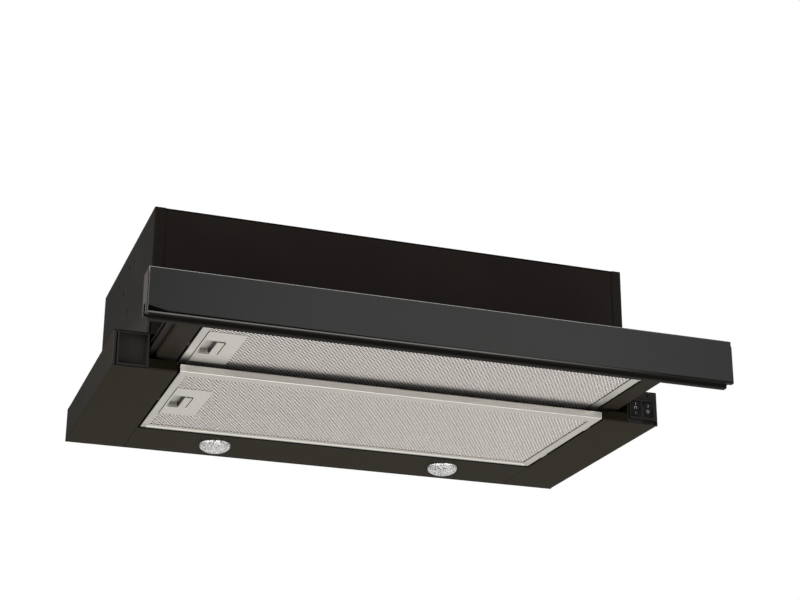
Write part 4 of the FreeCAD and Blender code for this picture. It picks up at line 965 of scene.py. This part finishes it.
@dataclass
class GreaseFilter:
    """One filter: frame, expanded net, foil pack, latch plate, slider and spring."""

    name: str
    frame_finish: Finish
    net_finish: Finish
    pitch_x: float = 3.90 * MM
    pitch_y: float = 6.57 * MM
    strand_width: float = 0.66 * MM
    strand_thickness: float = 0.3 * MM
    strand_roll: float = math.radians(26)
    plate_gap: float = 1.0 * MM
    reach_under_frame: float = 2.0 * MM
    left_border: float = 8.0 * MM
    right_border: float = 11.0 * MM
    end_border: float = 12.0 * MM

    def build(self) -> None:
        """Dresses the CAD pieces and makes the net."""
        finishes = {"filter_frame": self.frame_finish, "filter_core": FOIL_IN_SHADE, "latch_plate": LATCH_GREY,
                    "latch_slider": SLIDER_GREY, "latch_spring": ZINC}
        for part, finish in finishes.items():
            dress(finish, f"{self.name}_{part}")
        self.net()

    def strand(self, shape: Shape, start: Vector, end: Vector) -> list:
        """Adds one strand, a thin bar rolled about its own line.

        Args:
            shape: The mesh in the making.
            start: Where the strand starts.
            end: Where it ends.

        Returns:
            The strand's vertices, edges and faces.
        """
        run = end - start
        half = Vector((run.length, self.strand_width, self.strand_thickness)) / 2
        turn = Matrix.Rotation(math.atan2(run.y, run.x), 4, "Z") @ Matrix.Rotation(self.strand_roll, 4, "X")
        middle = (start + end) / 2
        verts = shape.block(middle - half, middle + half, turn)
        return [*verts, *{e for v in verts for e in v.link_edges}, *shape.faces_at(verts)]

    def patch(self, shape: Shape, corner: Vector, columns: int, rows: int) -> None:
        """Fills a rectangle with diamonds.

        Args:
            shape: The mesh in the making.
            corner: The rectangle's lowest corner.
            columns: Diamonds along x.
            rows: Diamonds along y.
        """
        middle = corner + Vector((self.pitch_x, self.pitch_y, 0)) / 2
        cell = []
        for side, end in ((-1, -1), (1, -1), (-1, 1), (1, 1)):
            tip = middle + Vector((side * self.pitch_x, end * self.pitch_y, 0)) / 2
            cell += self.strand(shape, *((middle, tip) if end > 0 else (tip, middle)))
        row = shape.repeat(cell, Vector((self.pitch_x, 0, 0)), columns)
        shape.repeat(row, Vector((0, self.pitch_y, 0)), rows)

    def net(self) -> None:
        """Makes the expanded net that shows through the frame, open round the latch plate.

        The frame's box reaches further on the right because of the hooks, so the right border counts from the
        mirrored left end.
        """
        low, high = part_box(f"{self.name}_filter_frame")
        sheet_low, sheet_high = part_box(f"{self.name}_filter_mesh")
        plate_low, plate_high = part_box(f"{self.name}_latch_plate")
        left = low.x + self.left_border - self.reach_under_frame
        right = -low.x - self.right_border + self.reach_under_frame
        ahead = plate_low.y - self.plate_gap
        before = math.ceil((ahead - low.y - self.end_border + self.reach_under_frame) / self.pitch_y)
        start_y = ahead - before * self.pitch_y
        end_y = high.y - self.end_border + self.reach_under_frame
        columns = math.ceil((right - left) / self.pitch_x)
        rows = math.ceil((end_y - start_y) / self.pitch_y)
        beside = math.ceil((plate_high.x - left) / self.pitch_x) - 1
        after = math.floor((plate_high.y - start_y) / self.pitch_y)
        shape = Shape()
        patches = ((0, 0, before), (beside, before, after - before), (0, after, rows - after))
        for column, row, count in patches:
            corner = Vector((left + column * self.pitch_x, start_y + row * self.pitch_y,
                             (sheet_low.z + sheet_high.z) / 2))
            self.patch(shape, corner, columns - column, count)
        shape.finish(f"{self.name}_filter_net", f"{self.name}_filter", [self.net_finish],
                     [f"{self.name}_filter_mesh"], crease=10.0)


@dataclass
class FrontPanel:
    """The glass front with its carrier and end caps."""

    chamfer: float = 0.9 * MM
    lap: float = 1.0 * MM

    def build(self) -> None:
        """Dresses the carrier and makes the glass."""
        dress(PROFILE_BLACK, "front_profile")
        dress(CAP_GREY, "left_end_cap", "right_end_cap")
        self.glass()

    def glass(self) -> None:
        """Makes the glass with its bevelled and polished edges, lapped a little into the end caps."""
        low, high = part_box("front_glass")
        lap = Vector((self.lap, 0, 0))
        shape = Shape()
        shape.block(low - lap, high + lap)
        rim = [e for e in shape.bm.edges if all(abs(v.co.y - low.y) < TINY for v in e.verts)]
        bmesh.ops.bevel(shape.bm, geom=rim, offset=self.chamfer, segments=1, profile=0.5, affect="EDGES",
                        material=-1)
        shape.bm.normal_update()
        for face in shape.bm.faces:
            face.material_index = 0 if abs(face.normal.y) > 0.9 else 1
        shape.finish("glass_front", "pull_out", [GLASS_FACE, GLASS_EDGE], ["front_glass"])


@dataclass
class Carriage:
    """The pull-out's arms, cross bar and ball slides."""

    def build(self) -> None:
        """Dresses the carriage."""
        dress(ARM_ENAMEL, "left_arm", "right_arm", "cross_bar")
        dress(SLIDE_BLACK, "left_slide_rail", "right_slide_rail", "left_slide_runner", "right_slide_runner")
        dress(ZINC, "left_ball_cage", "right_ball_cage")


@dataclass
class FrontCorners:
    """The blank cap on the left and the two switches on the right.

    The marks are pairs of a kind and a height over the rocker's pivot in millimetres.
    """

    ink: float = 0.04 * MM
    light_tilt: float = math.radians(8)
    slope_drop: float = 1.3 * MM
    slope_length: float = 8.0 * MM
    face_ahead: float = 3.0 * MM
    bar_length: float = 2.7 * MM
    bar_width: float = 0.5 * MM
    bar_pitch: float = 1.3 * MM
    ring_radius: float = 1.75 * MM
    marks: dict[str, tuple[tuple[str, float], ...]] = field(default_factory=lambda: {
        "fan_rocker": (("one", 5.3), ("ring", 0.9), ("two", -5.0)),
        "light_rocker": (("one", 4.4), ("ring", -1.6))})

    def build(self) -> None:
        """Dresses the corners and prints the rockers' marks."""
        dress(BLANK_BLACK, "blank_cap")
        dress(CORNER_BLACK, "switch_housing")
        dress(PLASTIC_BLACK, "switch_block")
        dress(ROCKER_BLACK, "fan_rocker", "light_rocker")
        pivots = {j["child"]: Vector(j["pos_m"]) for j in frame["joints"] if j["child"] in self.marks}
        for name in self.marks:
            self.printed(name, pivots[name], self.light_tilt if name == "light_rocker" else 0.0)

    def printed(self, name: str, pivot: Vector, tilt: float) -> None:
        """Prints one rocker's marks on its two slopes.

        Args:
            name: The rocker's node and body.
            pivot: Its pivot.
            tilt: How far the rocker is tipped at rest.
        """
        shape = Shape()
        slope = math.atan2(self.slope_drop, self.slope_length)
        for kind, height in self.marks[name]:
            up = height * MM
            depth = self.face_ahead - self.slope_drop * (1 - abs(up) / self.slope_length)
            place = pivot + Vector((0, -depth - self.ink / 2, up))
            made = (self.ring(shape, place) if kind == "ring"
                    else self.bars(shape, place, 1 if kind == "one" else 2))
            lean = Matrix.Rotation(slope if up > 0 else -slope, 4, "X")
            bmesh.ops.rotate(shape.bm, verts=made, cent=place, matrix=lean)
            for face in shape.faces_at(made):
                face.material_index = 1 if kind == "two" else 0
        bmesh.ops.rotate(shape.bm, verts=shape.bm.verts, cent=pivot, matrix=Matrix.Rotation(tilt, 4, "X"))
        shape.finish(f"{name}_marks", name, [INK, FAINT_INK])

    def bars(self, shape: Shape, place: Vector, count: int) -> Verts:
        """Adds one or two upright bars.

        Args:
            shape: The mesh in the making.
            place: The middle of the mark.
            count: How many bars.

        Returns:
            Their vertices.
        """
        made = []
        half = Vector((self.bar_width, self.ink, self.bar_length)) / 2
        for index in range(count):
            middle = place + Vector(((index - (count - 1) / 2) * self.bar_pitch, 0, 0))
            made += shape.block(middle - half, middle + half)
        return made

    def ring(self, shape: Shape, place: Vector) -> Verts:
        """Adds a ring mark.

        Args:
            shape: The mesh in the making.
            place: Its centre.

        Returns:
            Its vertices.
        """
        outer, inner, deep = self.ring_radius, self.ring_radius - self.bar_width, self.ink / 2
        profile = [(outer, -deep), (outer, deep), (inner, deep), (inner, -deep), (outer, -deep)]
        return shape.lathe(profile, place, (0, 1, 0), steps=24)


@dataclass
class Lamps:
    """Two lamps: pressed lens, faceted reflector, capsule and its wires.

    The bowl is a closed profile of radius and height over its rim in millimetres, outer side first. Heights
    count from the underside of the lamp strip.
    """

    centre_x: float = 138 * MM
    centre_y: float = -48 * MM
    neck_radius: float = 16.5 * MM
    lens_radius: float = 17.5 * MM
    lens_wall: float = 1.2 * MM
    flange_radius: float = 18.6 * MM
    flange_low: float = 1.0 * MM
    flange_high: float = 2.3 * MM
    throat_low: float = -0.6 * MM
    rim_height: float = 2.2 * MM
    dome_height: float = 7.7 * MM
    dome_rings: int = 11
    dimples: int = 48
    dimple_depth: float = 0.3 * MM
    plain_middle: float = 1.5 * MM
    bowl: tuple[tuple[float, float], ...] = (
        (17.6, 0), (17.6, 0.8), (15.4, 1.4), (12.9, 7), (8.7, 13), (5.4, 16), (4.6, 16), (7.4, 12.6),
        (9.4, 9.8), (11.4, 6.8), (12.9, 4.0), (14.2, 1.2), (15.4, 0), (17.6, 0))
    bowl_rim: float = 2.4 * MM
    plain_lip: float = 0.2 * MM
    facets: int = 20
    facet_bulge: float = 0.5 * MM
    wire_radius: float = 0.5 * MM
    wire_low: float = 10.0 * MM
    wire_high: float = 19.5 * MM
    wire_offset: float = 0.8 * MM
    coil_turns: int = 5
    coil_pitch: float = 0.6 * MM
    coil_radius: float = 0.9 * MM
    coil_wire: float = 0.3 * MM
    coil_height: float = 9.6 * MM

    def build(self) -> None:
        """Makes both lamps."""
        dress(CERAMIC, "lamp_holders")
        dress(BULB_GLASS, "lamp_capsules")
        self.lenses()
        self.reflectors()
        self.wires()

    def centres(self) -> list[Vector]:
        """Gives the lamps' axes at the underside's level."""
        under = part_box("lamp_strip")[0].z
        return [Vector((side.value * self.centre_x, self.centre_y, under)) for side in Side]

    def lenses(self) -> None:
        """Makes the domed lenses, with pressed dimples on their inner face."""
        shape = Shape()
        angles = [math.pi / 2 * i / self.dome_rings for i in range(self.dome_rings)]
        outer = [(self.lens_radius * math.cos(a), -self.rim_height - self.dome_height * math.sin(a))
                 for a in angles]
        outer.append((0.0, -self.rim_height - self.dome_height))
        inner = [(max(r - self.lens_wall, 0.0), z + self.lens_wall) for r, z in outer]
        throat = self.neck_radius - self.lens_wall
        flange = [(throat, self.throat_low), (throat, self.flange_high),
                  (self.flange_radius, self.flange_high), (self.flange_radius, self.flange_low),
                  (self.neck_radius, self.flange_low), (self.neck_radius, 0.0), (self.lens_radius, 0.0)]
        for centre in self.centres():
            verts = shape.lathe(inner[::-1] + flange + outer, centre, steps=2 * self.dimples)
            for vert in verts:
                self.press(vert, centre, inner)
            for face in shape.faces_at(verts):
                out = face.calc_center_median() - centre + Vector((0, 0, self.rim_height))
                face.material_index = 1 if face.normal.dot(out) < 0 else 0
        shape.finish("lamp_lens_glass", "housing", [LENS_GLASS, LENS_INSIDE], ["lamp_lenses"], crease=60.0)

    def press(self, vert: bmesh.types.BMVert, centre: Vector, inner: list[tuple[float, float]]) -> None:
        """Moves a vertex of the inner face up or down, as the chequered dimples ask.

        Args:
            vert: The vertex, which stays if it isn't on the inner face.
            centre: The lamp's centre.
            inner: The inner face's profile.
        """
        out = vert.co - centre
        radius = math.hypot(out.x, out.y)
        ring = next((i for i, (r, z) in enumerate(inner)
                     if abs(r - radius) < 2 * TINY and abs(z - out.z) < 2 * TINY), None)
        if ring and radius > self.plain_middle:
            step = round(math.atan2(out.y, out.x) / (math.pi / self.dimples))
            vert.co.z += self.dimple_depth * (1 if (step // 2 + ring) % 2 else -1)

    def reflectors(self) -> None:
        """Makes the bowls with rings of flat facets, each bulged at its middle."""
        shape = Shape()
        profile = [(r * MM, z * MM + self.bowl_rim) for r, z in self.bowl]
        for centre in self.centres():
            made = shape.lathe(profile, centre, steps=self.facets)
            lip = centre.z + self.bowl_rim + self.plain_lip
            faces = [f for f in shape.faces_at(made) if f.normal.z < -0.05 and f.calc_center_median().z > lip]
            bmesh.ops.poke(shape.bm, faces=faces, offset=self.facet_bulge)
            LOG.info("reflector facets %d", len(faces))
        shape.finish("lamp_reflector_bowls", "housing", [MIRROR], ["lamp_reflectors"], crease=4.0)

    def wires(self) -> None:
        """Makes each capsule's lead wires and its little coil."""
        shape = Shape()
        angles = [math.radians(60 * i) for i in range(7)]
        profile = [(self.coil_radius + self.coil_wire * math.cos(a), self.coil_wire * math.sin(a))
                   for a in angles]
        for centre in self.centres():
            for side in Side:
                middle = Vector((side.value * self.wire_offset, 0, (self.wire_low + self.wire_high) / 2))
                bmesh.ops.create_cone(shape.bm, cap_ends=True, segments=8, radius1=self.wire_radius,
                                      radius2=self.wire_radius, depth=self.wire_high - self.wire_low,
                                      matrix=Matrix.Translation(centre + middle))
            for turn in range(self.coil_turns):
                along = (turn - (self.coil_turns - 1) / 2) * self.coil_pitch
                shape.lathe(profile, centre + Vector((along, 0, self.coil_height)), (1, 0, 0), steps=12)
        shape.finish("lamp_filaments", "housing", [TUNGSTEN])


@dataclass
class Outlet:
    """The duct collar, its flaps and the cable gland."""

    def build(self) -> None:
        """Dresses the outlet."""
        dress(PLASTIC_BLACK, "outlet_collar", "front_flap", "rear_flap", "cable_gland")
        dress(ZINC, "flap_pin")


@dataclass
class Blower:
    """Scroll, wheel, motor and the electrical parts inside."""

    def build(self) -> None:
        """Dresses the blower."""
        dress(FAN_GREY, "fan_scroll", "left_fan_side", "right_fan_side", "impeller")
        dress(MOTOR_STEEL, "fan_motor")
        dress(RUBBER, "motor_bushes")
        dress(CAPACITOR, "run_capacitor")
        dress(PLASTIC_BLACK, "terminal_box")


@dataclass(frozen=True)
class ScrewPlace:
    """Where one screw sits, which way its head looks, and its sizes."""

    seat: Point
    out: Point
    head: float
    shank: float


@dataclass
class Fasteners:
    """Pan-head screws with cross recesses; the head's outline and its recess are shares of its sizes."""

    shank_radius: float = 1.4 * MM
    head_height: float = 1.6 * MM
    head_outline: tuple[tuple[float, float], ...] = (
        (1.0, 0.0), (1.0, 0.45), (0.92, 0.72), (0.72, 0.93), (0.5, 1.0))
    recess_depth: float = 1.1 * MM
    recess_reach: float = 0.42
    recess_half_width: float = 0.11
    housing: tuple[ScrewPlace, ...] = (
        ScrewPlace((0.291, -0.286, -0.0046), (0, -1, 0), 2.4 * MM, 4 * MM),
        *(ScrewPlace((side.value * 0.2657, y, -0.013), (side.value, 0, 0), 2.6 * MM, 1.9 * MM)
          for side in Side for y in (-0.238, -0.140, -0.042)))
    arms: tuple[ScrewPlace, ...] = tuple(
        ScrewPlace((side.value * 0.2465, -0.435, z), (0, 1, 0), 2.8 * MM, 2.4 * MM)
        for side in Side for z in (-0.019, -0.008))
    collar: tuple[ScrewPlace, ...] = tuple(
        ScrewPlace((i * 0.065 * math.sqrt(0.5), -0.140 + j * 0.065 * math.sqrt(0.5), 0.1415), (0, 0, 1),
                   3.4 * MM, 3.4 * MM) for i in (-1, 1) for j in (-1, 1))

    def build(self) -> None:
        """Makes the three sets of screws."""
        for name, places, body, finish in (("housing_screws", self.housing, "housing", SCREW_BLACK),
                                           ("arm_screws", self.arms, "pull_out", ZINC),
                                           ("collar_screws", self.collar, "housing", ZINC)):
            shape = Shape()
            for place in places:
                self.screw(shape, place)
            shape.finish(f"{name}_cut", body, [finish], [name])

    def screw(self, shape: Shape, place: ScrewPlace) -> None:
        """Adds one screw.

        Args:
            shape: The mesh in the making.
            place: Where it sits.
        """
        seat, out, head = Vector(place.seat), Vector(place.out), place.head
        profile = [(0.0, -place.shank), (self.shank_radius, -place.shank), (self.shank_radius, 0.0),
                   *((head * radius, self.head_height * height) for radius, height in self.head_outline)]
        made = shape.lathe(profile, seat, out, steps=24)
        rim = [e for e in {e for v in made for e in v.link_edges} if e.is_boundary]
        top = seat + out * self.head_height
        across = out.orthogonal().normalized()
        up = out.cross(across)
        arm, half = head * self.recess_reach, head * self.recess_half_width
        corners = [(half, half), (half, arm), (-half, arm), (-half, half), (-arm, half), (-arm, -half),
                   (-half, -half), (-half, -arm), (half, -arm), (half, -half), (arm, -half), (arm, half)]
        verts = [shape.bm.verts.new(top + across * u + up * v) for u, v in corners]
        edges = [shape.bm.edges.new((verts[i - 1], verts[i])) for i in range(len(verts))]
        bmesh.ops.bridge_loops(shape.bm, edges=rim + edges)
        cross = shape.bm.faces.new(verts)
        sunk = bmesh.ops.extrude_discrete_faces(shape.bm, faces=[cross])["faces"]
        bmesh.ops.translate(shape.bm, vec=-out * self.recess_depth, verts=sunk[0].verts[:])
        bmesh.ops.recalc_face_normals(shape.bm, faces=shape.bm.faces)


def main() -> None:
    """Builds the looks, one sub-assembly after another."""
    logging.basicConfig(level=logging.INFO, format="%(name)s: %(message)s")
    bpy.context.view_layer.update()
    Viewpoint().build()
    Studio().build()
    parts = (Cabinet(), GreaseFilter("rear", ALUMINIUM, NET_ALUMINIUM),
             GreaseFilter("front", FRONT_ALUMINIUM, FRONT_NET), FrontPanel(), Carriage(), FrontCorners(),
             Lamps(), Outlet(), Blower(), Fasteners())
    for part in parts:
        part.build()
        LOG.info("built %s", type(part).__name__)


if __name__ == "__main__":
    main()
